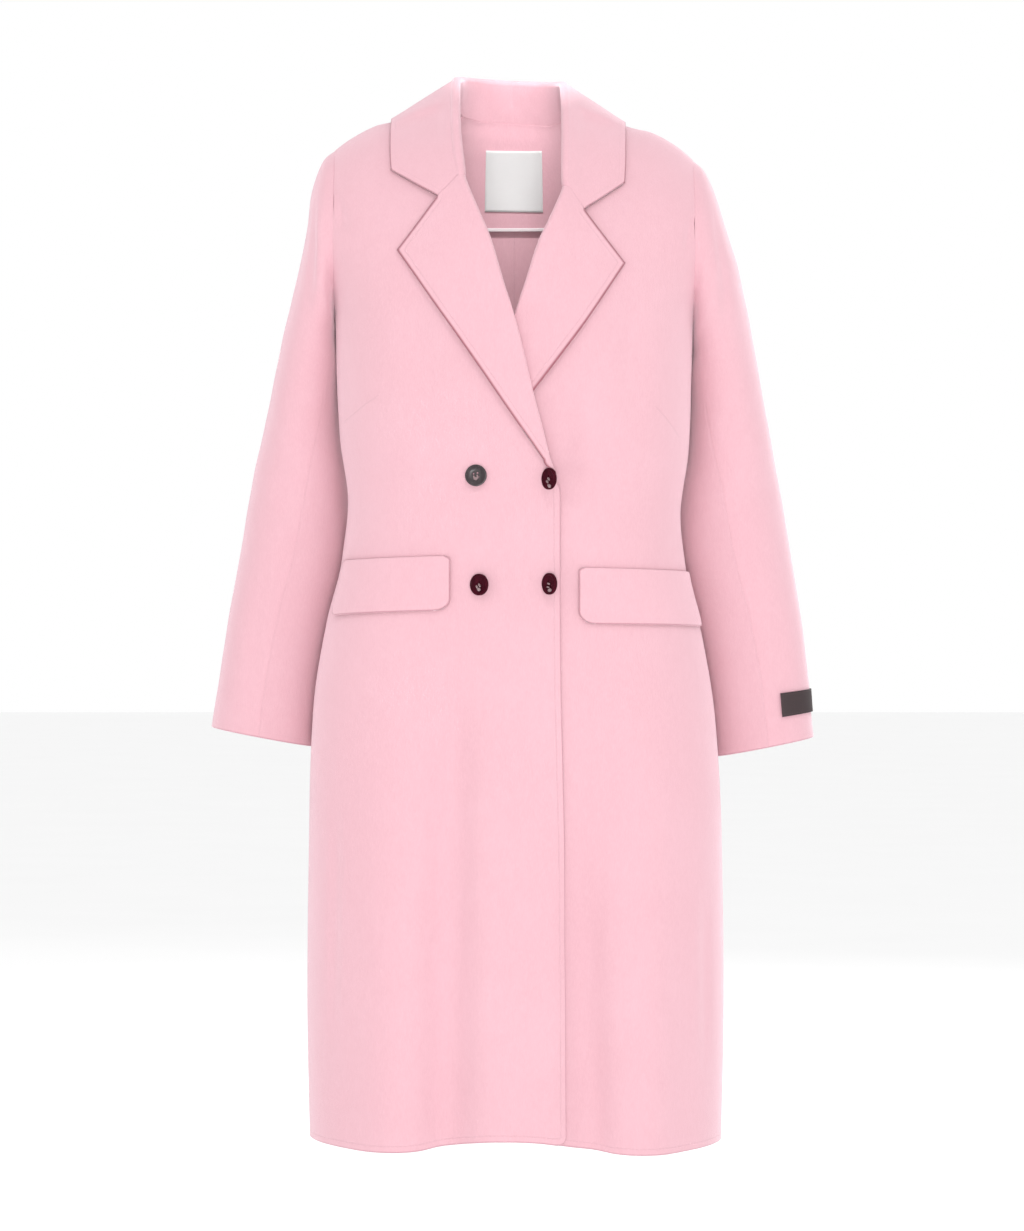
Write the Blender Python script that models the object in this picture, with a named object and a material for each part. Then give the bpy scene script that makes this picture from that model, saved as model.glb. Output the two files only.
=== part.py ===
"""Double-breasted coat in double-face wool, filled out as if worn, with no wearer.

Metres, +Z up, the front faces -Y and the wearer's left is +X. The origin is at the base of the neck.
Every cloth piece is a wall of real thickness made from one body surface or one sleeve surface."""

import math
from collections import namedtuple

import bmesh
import bpy
from mathutils import Matrix, Vector

for old in list(bpy.data.objects):
    bpy.data.objects.remove(old, do_unlink=True)

# Driving sizes, in metres
CLOTH = 0.0024  # wall of the double-face cloth
SEAM_GAP = 0.0003  # clear space left at a seam
LAYER_GAP = 0.0014  # clear space between a piece and the cloth it lies on
ARMPIT_Z = -0.2316  # height of the lowest point of the armhole
ARMHOLE_X = 0.190  # distance of the armhole's plane from the middle of the body
HEM_Z = -1.0875  # hem height at the middle of the front
SQUARE = 0.10  # fullness of the body's sections between front and side
CORNER = 0.010  # radius of the lower front corner
BUTTON_RADIUS = 0.0115
BUTTON_HEIGHT = 0.0034
BUTTON_HOLE_RADIUS = 0.0010
BUTTON_HOLE_OFFSET = 0.0021  # from the button's axis, both ways
FLAP_CORNER = 0.012
LABEL_WALL = 0.0008
FACING = 0.0018  # wall of the back-neck facing
FACING_GAP = 0.0024  # clear space between the back and its facing

# Body sections below the armpit, from the hem up
Section = namedtuple("Section", "z half_width front_depth back_depth fold")
BODY = (
    Section(-1.100, 0.2185, 0.130, 0.138, 0.0110),
    Section(-0.950, 0.2215, 0.130, 0.140, 0.0095),
    Section(-0.750, 0.2190, 0.128, 0.139, 0.0060),
    Section(-0.650, 0.2140, 0.124, 0.135, 0.0035),
    Section(-0.560, 0.2005, 0.119, 0.128, 0.0015),
    Section(-0.490, 0.1830, 0.114, 0.113, 0.0000),
    Section(-0.430, 0.1770, 0.113, 0.103, 0.0000),
    Section(-0.360, 0.1860, 0.123, 0.107, 0.0000),
    Section(-0.300, 0.1885, 0.129, 0.112, 0.0000),
    Section(ARMPIT_Z, ARMHOLE_X, 0.128, 0.117, 0.0000),
)

# How much lower the hem hangs away from the middle
Hem = namedtuple("Hem", "x drop")
HEM_LINE = (
    Hem(0.000, 0.0005),
    Hem(0.020, 0.0010),
    Hem(0.047, 0.0040),
    Hem(0.073, 0.0088),
    Hem(0.100, 0.0128),
    Hem(0.127, 0.0142),
    Hem(0.153, 0.0146),
    Hem(0.180, 0.0136),
    Hem(0.220, 0.0115),
)

# Body sections above the armpit; rise is 0 at the armpit and 1 on the shoulder line
Upper = namedtuple("Upper", "rise half_width front_depth back_depth shift")
SHOULDERS = (
    Upper(-0.06, ARMHOLE_X + 0.0016, 0.129, 0.117, 0.000),
    Upper(0.00, ARMHOLE_X, 0.128, 0.117, 0.000),
    Upper(0.06, 0.1920, 0.1275, 0.1175, 0.0003),
    Upper(0.12, 0.1968, 0.1265, 0.118, 0.001),
    Upper(0.20, 0.2050, 0.1245, 0.1185, 0.002),
    Upper(0.30, 0.2145, 0.122, 0.119, 0.003),
    Upper(0.50, 0.2240, 0.117, 0.117, 0.005),
    Upper(1.00, 0.2250, 0.105, 0.105, 0.010),
)

# Shoulder line, from the middle out; inside the neck it is only a guide for the surface
Ridge = namedtuple("Ridge", "x z")
SHOULDER_LINE = (
    Ridge(-0.020, 0.0640),
    Ridge(0.000, 0.0700),
    Ridge(0.020, 0.0640),
    Ridge(0.035, 0.0480),
    Ridge(0.049, 0.0270),
    Ridge(0.058, 0.0115),
    Ridge(0.0655, 0.0030),
    Ridge(0.090, -0.0075),
    Ridge(0.128, -0.0205),
    Ridge(0.144, -0.0240),
    Ridge(0.155, -0.0285),
    Ridge(0.166, -0.0345),
    Ridge(0.177, -0.0415),
    Ridge(ARMHOLE_X, -0.0520),
)

# Inner edge of each front: closing edge, fold of the lapel, then the neck seam; x is past the middle
Edge = namedtuple("Edge", "z x")
FRONT_EDGE = (
    Edge(-1.100, 0.0536),
    Edge(-0.985, 0.0536),
    Edge(-0.837, 0.0526),
    Edge(-0.708, 0.0506),
    Edge(-0.528, 0.0486),
    Edge(-0.418, 0.0485),
    Edge(-0.406, 0.0440),
    Edge(-0.394, 0.0405),
    Edge(-0.380, 0.0352),
    Edge(-0.355, 0.0286),
    Edge(-0.314, 0.0175),
    Edge(-0.244, 0.0000),
    Edge(-0.1975, -0.0155),
    Edge(-0.1555, -0.0290),
    Edge(-0.134, -0.0388),
    Edge(-0.0955, -0.0545),
    Edge(-0.067, -0.0615),
    Edge(-0.040, -0.0655),
    Edge(-0.018, -0.0668),
    Edge(0.003, -0.0655),
)
GORGE_Z = -0.0955  # where the lapel's fold meets the collar's seam
NOTCH = (0.0757, -0.1170)
TIP = (0.1181, -0.1720)
COLLAR_CORNER = (0.1221, -0.0860)
LAPEL_SHIFT = 0.0032  # both lapels sit this much towards the wearer's right
LEAF_SHIFT = 0.0065  # the same for the collar's leaves

# Rows of the fronts and backs below the armpit, then rises above it
ROWS = (-1.0865, -1.084, -1.078, -1.030, -0.950, -0.860, -0.770, -0.690, -0.625, -0.570, -0.520, -0.475,
        -0.438, -0.418, -0.406, -0.394, -0.380, -0.355, -0.325, -0.295, -0.262)
RISES = (0.0, 0.05, 0.11, 0.17, 0.23, 0.29)
RISES_ABOVE = (0.41, 0.47, 0.54, 0.61, 0.68, 0.75, 0.82, 0.88, 0.93, 0.97, 1.0)
FRONT_COLUMNS = 18
BACK_COLUMNS = 9

# How far the lapel has turned over at its lowest rows, and the strip's width there
Turn = namedtuple("Turn", "z angle width")
LAPEL_START = (
    Turn(-0.406, 25.0, 0.0040),
    Turn(-0.394, 95.0, 0.0050),
    Turn(-0.380, 165.0, 0.0075),
)

# Height of the roll between a front and its lapel
Roll = namedtuple("Roll", "z height")
LAPEL_ROLL = (
    Roll(-0.400, 0.0016),
    Roll(-0.250, 0.0018),
    Roll(-0.190, 0.0034),
    Roll(-0.0955, 0.0066),
)

# How far the under front sits inside the upper one
Under = namedtuple("Under", "z depth")
UNDER_FRONT = (
    Under(-1.100, 0.0034),
    Under(-0.430, 0.0036),
    Under(-0.412, 0.0080),
    Under(-0.400, 0.0102),
    Under(-0.360, 0.0095),
    Under(-0.244, 0.0090),
    Under(-0.190, 0.0000),
)

# The wearer's left side hangs lower than the right, and the skirt a little to that side
Hang = namedtuple("Hang", "z drop sway")
HANG = (
    Hang(-1.100, 0.0015, 0.0016),
    Hang(-0.800, 0.0050, 0.0016),
    Hang(-0.600, 0.0056, 0.0000),
    Hang(-0.240, 0.0070, 0.0000),
    Hang(-0.080, 0.0068, 0.0000),
    Hang(-0.030, 0.0038, 0.0000),
    Hang(0.000, 0.0035, 0.0000),
    Hang(0.040, 0.0030, 0.0000),
)

# Sleeve rings from the armhole down: outermost point, innermost point, middle and half depth in Y,
# how far the outermost point sways to the wearer's left, and the angles of the two seams
Ring = namedtuple("Ring", "step out_x out_z in_x in_z mid_y half_y sway front_seam back_seam")
SLEEVE = (
    Ring(0.0, 0.1903, -0.0530, 0.1903, -0.2316, 0.005, 0.058, 0.0000, 150.0, 238.0),
    Ring(0.6, 0.2010, -0.0620, 0.1912, -0.2345, 0.006, 0.061, 0.0000, 150.0, 238.0),
    Ring(1.2, 0.2095, -0.0780, 0.1912, -0.2375, 0.008, 0.064, 0.0005, 149.0, 239.0),
    Ring(2.0, 0.2171, -0.1000, 0.1912, -0.2410, 0.011, 0.066, 0.0015, 148.0, 240.0),
    Ring(3.0, 0.2253, -0.1350, 0.1910, -0.2455, 0.015, 0.068, 0.0045, 146.0, 240.0),
    Ring(4.0, 0.2343, -0.1670, 0.1903, -0.2530, 0.022, 0.069, 0.0065, 143.0, 241.0),
    Ring(5.0, 0.2436, -0.2060, 0.1888, -0.2640, 0.030, 0.069, 0.0064, 139.0, 242.0),
    Ring(6.0, 0.2528, -0.2470, 0.1862, -0.2820, 0.037, 0.068, 0.0050, 133.0, 243.0),
    Ring(7.0, 0.2634, -0.2980, 0.1870, -0.3120, 0.044, 0.066, 0.0040, 126.0, 245.0),
    Ring(8.0, 0.2733, -0.3500, 0.1850, -0.3580, 0.050, 0.064, 0.0035, 115.0, 247.0),
    Ring(9.0, 0.2831, -0.3990, 0.1780, -0.4040, 0.052, 0.062, 0.0027, 101.0, 249.0),
    Ring(10.0, 0.2918, -0.4460, 0.1750, -0.4510, 0.053, 0.060, 0.0026, 95.0, 251.0),
    Ring(11.0, 0.2994, -0.4900, 0.1790, -0.4950, 0.053, 0.058, 0.0025, 92.0, 253.0),
    Ring(12.0, 0.3056, -0.5270, 0.1895, -0.5340, 0.052, 0.056, 0.0020, 90.0, 255.0),
    Ring(13.0, 0.3120, -0.5700, 0.2000, -0.5790, 0.052, 0.053, 0.0015, 89.0, 257.0),
    Ring(14.0, 0.3174, -0.6120, 0.2080, -0.6250, 0.051, 0.050, 0.0005, 88.0, 259.0),
    Ring(15.0, 0.3208, -0.6400, 0.2115, -0.6560, 0.050, 0.048, -0.0010, 88.0, 261.0),
    Ring(16.0, 0.3243, -0.6690, 0.2150, -0.6900, 0.048, 0.047, -0.0020, 88.0, 262.0),
)
TOP_SLEEVE_COLUMNS = 12
UNDER_SLEEVE_COLUMNS = 6

# Collar stations from the gorge round to the centre back: place on the neck seam, top of the fold
# and the fall's outer edge, given by its x and its rise on the front or the back; slide is how far
# the fold sits towards the wearer's right, and shift the same for the outer edge
Station = namedtuple("Station", "place fold_x fold_y fold_z outer_x outer_level radius shift bulge slide")
COLLAR = (
    Station(0.00, 0.0505, -0.1058, -0.0940, 0.1221, 0.479, 0.0045, 0.0065, 0.0000, 0.0005),
    Station(0.30, 0.0545, -0.0905, -0.0640, 0.1230, 0.567, 0.0044, 0.0065, 0.0000, 0.0025),
    Station(0.55, 0.0562, -0.0720, -0.0340, 0.1236, 0.685, 0.0042, 0.0065, 0.0000, 0.0035),
    Station(0.78, 0.0568, -0.0440, -0.0010, 0.1240, 0.837, 0.0040, 0.0062, 0.0020, 0.0042),
    Station(1.00, 0.0562, -0.0080, 0.0235, 0.1236, 1.000, 0.0038, 0.0060, 0.0005, 0.0045),
    Station(1.30, 0.0530, 0.0280, 0.0300, 0.1150, 0.773, 0.0036, 0.0040, 0.0020, 0.0040),
    Station(1.65, 0.0350, 0.0570, 0.0330, 0.0750, 0.644, 0.0036, 0.0015, 0.0025, 0.0030),
    Station(2.00, 0.0000, 0.0690, 0.0340, 0.0000, 0.455, 0.0036, 0.0000, 0.0025, 0.0030),
)
COLLAR_STEPS = (0.0, 0.15, 0.3, 0.45, 0.62, 0.78, 0.9, 1.0, 1.1, 1.22, 1.36, 1.5, 1.65, 1.8, 1.91, 2.0)

# Pocket flaps: heights at the inner end and at the side, and how far round the body they reach
Flap = namedtuple("Flap", "side inner_x side_angle top_inner top_outer bottom_inner bottom_outer")
FLAPS = (
    Flap(-1, 0.0655, 9.0, -0.4880, -0.4925, -0.5450, -0.5500),
    Flap(1, 0.0670, 7.0, -0.4880, -0.4920, -0.5470, -0.5500),
)

# Buttons: centre on the front before the coat settles, turn about the upright and lean, in degrees
Button = namedtuple("Button", "name x z turn lean")
BUTTONS = (
    Button("button_upper_right", -0.0393, -0.4046, 0.0, 0.0),
    Button("button_lower_right", -0.0355, -0.5177, -34.0, 4.0),
    Button("button_upper_left", 0.0352, -0.3984, -46.0, 8.0),
    Button("button_lower_left", 0.0357, -0.5097, -46.0, 4.0),
)


def smooth_step(t):
    """0 to 1 with level ends."""
    t = min(1.0, max(0.0, t))
    return t * t * (3.0 - 2.0 * t)


def between(rows, place, column):
    """A column's value at a place in the first column, on a smooth curve that never overshoots."""
    keys = [row[0] for row in rows]
    values = [getattr(row, column) for row in rows]
    if place <= keys[0]:
        return values[0]
    if place >= keys[-1]:
        return values[-1]
    i = max(k for k in range(len(keys) - 1) if keys[k] <= place)

    def rate(k):
        return (values[k + 1] - values[k]) / (keys[k + 1] - keys[k])

    def slope(k):
        if k == 0:
            return rate(0)
        if k == len(keys) - 1:
            return rate(k - 1)
        before, after = rate(k - 1), rate(k)
        return 0.0 if before * after <= 0.0 else 2.0 * before * after / (before + after)

    step = keys[i + 1] - keys[i]
    t = (place - keys[i]) / step
    return (values[i] * (1 + 2 * t) * (1 - t) ** 2 + values[i + 1] * t * t * (3 - 2 * t)
            + step * (slope(i) * t * (1 - t) ** 2 - slope(i + 1) * t * t * (1 - t)))


def bell(x, middle, width):
    return math.exp(-(((x - middle) / width) ** 2))


def body_point(angle, level):
    """The coat's outer surface. Angle 0 is the wearer's left side and -90 degrees the front; level is
    metres below the armpit when negative and the rise to the shoulder line when positive."""
    c, s = math.cos(angle), math.sin(angle)
    full_c, full_s = c * (1 + SQUARE * s * s), s * (1 + SQUARE * c * c)
    if level <= 0.0:
        z = ARMPIT_Z + level
        depth = between(BODY, z, "back_depth" if s > 0 else "front_depth")
        x = between(BODY, z, "half_width") * full_c
        y = depth * full_s
        fold = between(BODY, z, "fold")
        if s < 0:
            y -= fold * (bell(abs(x), 0.144, 0.034) - 0.8 * bell(abs(x), 0.069, 0.024)) * abs(s)
        else:
            y += fold * (bell(abs(x), 0.105, 0.036) - 0.5 * bell(abs(x), 0.0, 0.030)) * abs(s)
        low = smooth_step((-0.9 - z) / 0.19)
        return Vector((x, y, z - low * between(HEM_LINE, abs(x), "drop")))
    quarter = level * math.pi / 2
    depth = between(SHOULDERS, level, "back_depth" if s > 0 else "front_depth")
    x = between(SHOULDERS, level, "half_width") * full_c
    y = between(SHOULDERS, level, "shift") + depth * full_s * math.cos(quarter)
    ridge = between(SHOULDER_LINE, abs(x), "z")
    return Vector((x, y, ARMPIT_Z + (ridge - ARMPIT_Z) * math.sin(quarter)))


def body_normal(angle, level):
    """Unit vector out of the coat at a place on its surface."""
    low, high = level - 1e-4, level + 1e-4
    if high > 1.0:
        low, high = 1.0 - 1e-4, 1.0
    if low < 0.0 < high:
        low, high = -2e-4, 0.0
    across = body_point(angle + 1e-4, level) - body_point(angle - 1e-4, level)
    up = body_point(angle, high) - body_point(angle, low)
    return across.cross(up).normalized()


def angle_at(x, level, front=True):
    """The angle at which a level of the body reaches this x."""
    rows = BODY if level <= 0.0 else SHOULDERS
    key = ARMPIT_Z + level if level <= 0.0 else level
    share = min(1.0, abs(x) / between(rows, key, "half_width"))
    low, high = 0.0, 1.0
    for _ in range(48):
        c = (low + high) / 2
        if c * (1 + SQUARE) - SQUARE * c ** 3 < share:
            low = c
        else:
            high = c
    angle = math.acos(math.copysign((low + high) / 2, x))
    return -angle if front else angle


def place_at(x, z, front=True):
    """Angle and level of the point of the front or back with this x and z."""
    if z <= ARMPIT_Z:
        level = z - ARMPIT_Z
    else:
        ridge = between(SHOULDER_LINE, abs(x), "z")
        level = math.asin(min(1.0, (z - ARMPIT_Z) / (ridge - ARMPIT_Z))) / (math.pi / 2)
    return angle_at(x, level, front), level


def front_edge_x(z):
    return between(FRONT_EDGE, z, "x")


def settle(point):
    """The same point in the coat as it hangs."""
    lean = math.sin(math.pi / 2 * min(1.0, max(-1.0, point.x / 0.085)))
    return Vector((point.x + between(HANG, point.z, "sway"), point.y,
                   point.z - between(HANG, point.z, "drop") * lean))


def layer(side, point):
    """How far a front's outer face stands off the body surface; the left front is the under one."""
    if side < 0:
        return 0.0
    past = point.x - front_edge_x(point.z) - 0.005
    return -between(UNDER_FRONT, point.z, "depth") * (1.0 - smooth_step(past / 0.070))


def on_front(side, x, z, lift):
    """A point of the front at this x and z, moved out by a lift, and the outward direction there."""
    angle, level = place_at(x, z)
    point, out = body_point(angle, level), body_normal(angle, level)
    return point + out * (lift + layer(side, point)), out


def edge_angle(side, level):
    """Angle at which a row of a front meets its inner edge."""
    def past(x):
        return x - front_edge_x(body_point(angle_at(x, level), level).z)

    low, high = -ARMHOLE_X, 0.06
    for _ in range(48):
        middle = (low + high) / 2
        if past(middle) < 0:
            low = middle
        else:
            high = middle
    return angle_at(-side * low, level)


def side_angle(side, level, front=True):
    """Angle of the side seam, or of the armhole above the armpit."""
    if level <= 0.0:
        width = between(BODY, ARMPIT_Z + level, "front_depth")
        away = SEAM_GAP / 2 / width
        base = 0.0 if side > 0 else -math.pi
        if front:
            return base - away if side > 0 else base + away
        return -base + away if side > 0 else -base - away
    return angle_at(side * ARMHOLE_X, level, front)


def material(name, colour, roughness, sheen=0.0):
    made = bpy.data.materials.new(name)
    made.use_nodes = True
    shader = made.node_tree.nodes["Principled BSDF"]
    shader.inputs["Base Color"].default_value = (*colour, 1.0)
    shader.inputs["Roughness"].default_value = roughness
    shader.inputs["Sheen Weight"].default_value = sheen
    made.diffuse_color = (*colour, 1.0)
    return made


coat = bpy.data.collections.new("double_breasted_coat")
bpy.context.scene.collection.children.link(coat)
cutters = bpy.data.collections.new("cutters")
bpy.context.scene.collection.children.link(cutters)


def add_object(name, bm, colour_material, collection=coat):
    bmesh.ops.recalc_face_normals(bm, faces=bm.faces)
    mesh = bpy.data.meshes.new(name)
    bm.to_mesh(mesh)
    bm.free()
    made = bpy.data.objects.new(name, mesh)
    made.data.materials.append(colour_material)
    collection.objects.link(made)
    return made


def cloth_solid(name, outer, inner, faces, colour_material):
    """A closed wall between two faces of a piece of cloth that share one set of mesh faces."""
    bm = bmesh.new()
    first = [bm.verts.new(settle(p)) for p in outer]
    second = [bm.verts.new(settle(p)) for p in inner]
    sides = {}
    for face in faces:
        bm.faces.new([first[i] for i in face])
        bm.faces.new([second[i] for i in reversed(face)])
        for a, b in zip(face, face[1:] + face[:1]):
            sides[(a, b)] = True
    for a, b in list(sides):
        if (b, a) not in sides:
            bm.faces.new([first[b], first[a], second[a], second[b]])
    bmesh.ops.triangulate(bm, faces=bm.faces)
    return add_object(name, bm, colour_material)


def grid_faces(rows, columns, start=0):
    """Quads of a grid whose points are numbered row by row."""
    return [
        (start + r * columns + c, start + r * columns + c + 1,
         start + (r + 1) * columns + c + 1, start + (r + 1) * columns + c)
        for r in range(rows - 1)
        for c in range(columns - 1)
    ]


def lay_on(name, points, outs, wall, colour_material, base=LAYER_GAP):
    """A thin piece on a panel: its rows of points moved out by the gap, then by its wall."""
    rows, columns = len(points), len(points[0])
    low = [p + n * base for row, normals in zip(points, outs) for p, n in zip(row, normals)]
    high = [p + n * (base + wall) for row, normals in zip(points, outs) for p, n in zip(row, normals)]
    return cloth_solid(name, high, low, grid_faces(rows, columns), colour_material)


wool = {
    name: material("wool_" + name, colour, 0.9, 0.4)
    for name, colour in (
        ("front_right", (0.93, 0.56, 0.63)),
        ("front_left", (0.92, 0.55, 0.62)),
        ("back_right", (0.90, 0.53, 0.60)),
        ("back_left", (0.90, 0.53, 0.61)),
        ("sleeve_top_right", (0.93, 0.56, 0.64)),
        ("sleeve_top_left", (0.92, 0.56, 0.64)),
        ("sleeve_under_right", (0.91, 0.53, 0.60)),
        ("sleeve_under_left", (0.91, 0.54, 0.60)),
        ("collar", (0.94, 0.57, 0.65)),
        ("back_neck_facing", (0.89, 0.51, 0.58)),
        ("flap_right", (0.93, 0.57, 0.63)),
        ("flap_left", (0.93, 0.55, 0.63)),
    )
}

GORGE_LEVEL = place_at(front_edge_x(GORGE_Z), GORGE_Z)[1]
LEVELS = [z - ARMPIT_Z for z in ROWS] + list(RISES) + [GORGE_LEVEL] + list(RISES_ABOVE)
FIRST_TURN = ROWS.index(LAPEL_START[0].z)
GORGE_ROW = LEVELS.index(GORGE_LEVEL)
LAPEL_SHARES = (0.0, 0.11, 0.22, 0.33, 0.5, 0.67, 0.84, 1.0)
ARC_STEPS = 4


def front_rows(side):
    """Outer-face points and outward directions of a front, row by row from the hem."""
    points, outs = [], []
    for level in LEVELS:
        start, end = side_angle(side, level), edge_angle(side, level)
        z = ARMPIT_Z + level
        if level < 0 and z < ROWS[0] + CORNER:
            up = max(0.0, z - ROWS[0])
            inset = CORNER - math.sqrt(CORNER ** 2 - (CORNER - up) ** 2)
            end += (start - end) / abs(start - end) * inset / between(BODY, z, "half_width")
        row, directions = [], []
        for i in range(FRONT_COLUMNS + 1):
            angle = start + (end - start) * i / FRONT_COLUMNS
            point, out = body_point(angle, level), body_normal(angle, level)
            row.append(point + out * layer(side, point))
            directions.append(out)
        points.append(row)
        outs.append(directions)
    return points, outs


def lapel_outline(side, share, top):
    """x and z of the lapel: share runs from the fold to the outer edge, top from break to gorge."""
    fold_z = LAPEL_START[-1].z + (GORGE_Z - LAPEL_START[-1].z) * top
    fold = Vector((side * -front_edge_x(fold_z), fold_z))
    tip = Vector((side * TIP[0] - LAPEL_SHIFT, TIP[1]))
    notch = Vector((side * NOTCH[0] - LAPEL_SHIFT, NOTCH[1]))
    gorge = Vector((side * -front_edge_x(GORGE_Z), GORGE_Z))
    low = Vector((side * -0.0335, LAPEL_START[-1].z - 0.004))
    outer = low.lerp(tip, top)
    outer.x += side * 0.0025 * math.sin(math.pi * top)
    straight = fold.lerp(outer, share)
    bent = gorge.lerp(notch, share / 0.33) if share <= 0.33 else notch.lerp(tip, (share - 0.33) / 0.67)
    return straight + (bent - gorge.lerp(tip, share)) * top ** 3


def make_front(name, side):
    """A front panel that turns over its fold into the lapel, as one piece of cloth."""
    rows, outs = front_rows(side)
    outer = [p for row in rows for p in row]
    inner = [p - n * CLOTH for row, directions in zip(rows, outs) for p, n in zip(row, directions)]
    columns = FRONT_COLUMNS + 1
    faces = grid_faces(len(rows), columns)
    strips = []
    turns = {round(turn.z, 4): turn for turn in LAPEL_START}
    for r in range(FIRST_TURN, GORGE_ROW + 1):
        fold, out = rows[r][-1], outs[r][-1]
        z = body_point(edge_angle(side, LEVELS[r]), LEVELS[r]).z
        height = between(LAPEL_ROLL, z, "height")
        along = rows[r + 1][-1] - rows[r - 1][-1]
        across = out.cross(along).normalized()
        if across.x * side > 0:
            across = -across
        turn = turns.get(round(z, 4))
        whole = math.radians(turn.angle) if turn else math.pi
        length = math.pi * height / 2
        strip = [r * columns + columns - 1]
        spot = fold.copy()
        for j in range(ARC_STEPS):
            middle = whole * (j + 0.5) / ARC_STEPS
            spot = spot + (across * math.cos(middle) + out * math.sin(middle)) * (length / ARC_STEPS)
            if not turn and j == ARC_STEPS - 1:
                spot = fold + out * height
            bend = whole * (j + 1) / ARC_STEPS
            strip.append(len(outer))
            outer.append(spot.copy())
            inner.append(spot + (across * math.sin(bend) - out * math.cos(bend)) * CLOTH)
        top = (z - LAPEL_START[-1].z) / (GORGE_Z - LAPEL_START[-1].z)
        for share in LAPEL_SHARES[1:]:
            strip.append(len(outer))
            if turn:
                point = spot + (across * math.cos(whole) + out * math.sin(whole)) * turn.width * share
                outer.append(point)
                inner.append(point + (across * math.sin(whole) - out * math.cos(whole)) * CLOTH)
            else:
                flat = lapel_outline(side, share, top)
                lift = LAYER_GAP + (height - LAYER_GAP) * (1.0 - share) ** 2
                point, direction = on_front(side, flat.x, flat.y, lift)
                outer.append(point)
                inner.append(point + direction * CLOTH)
        strips.append(strip)
    for below, above in zip(strips, strips[1:]):
        for k in range(len(below) - 1):
            faces.append((below[k], below[k + 1], above[k + 1], above[k]))
    corner = (FIRST_TURN - 1) * columns + columns - 1
    for k in range(len(strips[0]) - 1):
        faces.append((corner, strips[0][k + 1], strips[0][k]))
    return cloth_solid(name, outer, inner, faces, wool[name])


NECK_LEVEL = 0.525  # level at which the back's neck seam crosses the centre back


def back_neck_angle(side, level):
    """Angle at which a back row ends: the centre seam, or the neck seam above it."""
    if level <= NECK_LEVEL:
        width = between(BODY if level <= 0 else SHOULDERS, ARMPIT_Z + level if level <= 0 else level, "half_width")
        return math.pi / 2 - side * SEAM_GAP / 2 / width
    rise = (level - NECK_LEVEL) / (1.0 - NECK_LEVEL)
    x = 0.0655 * math.sqrt(1.0 - (1.0 - rise) ** 2) ** 0.9
    return angle_at(side * max(x, SEAM_GAP / 2), level, front=False)


def make_back(name, side):
    points, directions = [], []
    for level in LEVELS:
        start, end = side_angle(side, level, front=False), back_neck_angle(side, level)
        for i in range(BACK_COLUMNS + 1):
            angle = start + (end - start) * i / BACK_COLUMNS
            points.append(body_point(angle, level))
            directions.append(body_normal(angle, level))
            if level == 1.0:
                points[-1].y += SEAM_GAP
    inner = [p - n * CLOTH for p, n in zip(points, directions)]
    return cloth_solid(name, points, inner, grid_faces(len(LEVELS), BACK_COLUMNS + 1), wool[name])


def armhole_point(side, rise, front):
    return body_point(angle_at(side * ARMHOLE_X, rise, front), rise)


def sleeve_point(side, phi, step):
    """The sleeve's outer surface: phi is 0 at the outermost line and 90 degrees at the front."""
    ring = {name: between(SLEEVE, step, name) for name in Ring._fields[1:8]}
    out_point = Vector((side * ring["out_x"] + ring["sway"], ring["mid_y"], ring["out_z"]))
    in_point = Vector((side * ring["in_x"], ring["mid_y"], ring["in_z"]))
    middle, half = (out_point + in_point) / 2, (out_point - in_point) / 2
    c, s = math.cos(phi), math.sin(phi)
    point = middle + half * (c * (1 + 0.06 * s * s))
    point.y -= ring["half_y"] * s * (1 + 0.06 * c * c)
    near = max(0.0, 1.0 - step / 3.0)
    if near > 0.0:
        rise = math.asin(min(1.0, (1 + c) / 2)) / (math.pi / 2)
        edge = armhole_point(side, max(rise, 1e-6), s >= 0)
        edge.x = side * (ARMHOLE_X + SEAM_GAP)
        point = point.lerp(Vector((point.x, edge.y, point.z)), near ** 1.5)
        if step == 0.0:
            point = edge
    return point


def sleeve_normal(side, phi, step):
    low, high = max(0.0, step - 0.02), min(SLEEVE[-1].step, step + 0.02)
    if step == 0.0:
        across = sleeve_point(side, phi + 0.02, 0.0) - sleeve_point(side, phi - 0.02, 0.0)
        out = across.cross(Vector((1, 0, 0)))
        out.x = 0.0
    else:
        across = sleeve_point(side, phi + 1e-3, step) - sleeve_point(side, phi - 1e-3, step)
        out = across.cross(sleeve_point(side, phi, high) - sleeve_point(side, phi, low))
    out.normalize()
    centre = Vector((0.0, between(SLEEVE, step, "mid_y"), 0.0))
    point = sleeve_point(side, phi, step)
    guide = Vector((side * math.cos(phi), -math.sin(phi), 0.0))
    if step < 4.0:
        guide = Vector((0.0, point.y - centre.y, math.cos(phi) * 0.1))
        guide.x = side * math.cos(phi) * 0.05 * step
    return out if out.dot(guide) >= 0 else -out


def make_sleeve_piece(name, side, top):
    """A top sleeve or an under sleeve between its two seams."""
    steps = [ring.step for ring in SLEEVE]
    columns = TOP_SLEEVE_COLUMNS if top else UNDER_SLEEVE_COLUMNS
    points, inner = [], []
    for step in steps:
        front_seam = math.radians(between(SLEEVE, step, "front_seam"))
        back_seam = math.radians(between(SLEEVE, step, "back_seam"))
        away = SEAM_GAP / 2 / 0.05
        if top:
            start, end = back_seam - 2 * math.pi + away, front_seam - away
        else:
            start, end = front_seam + away, back_seam - away
        for i in range(columns + 1):
            phi = start + (end - start) * i / columns
            point = sleeve_point(side, phi, step)
            points.append(point)
            inner.append(point - sleeve_normal(side, phi, step) * CLOTH)
    return cloth_solid(name, points, inner, grid_faces(len(steps), columns + 1), wool[name])


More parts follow.
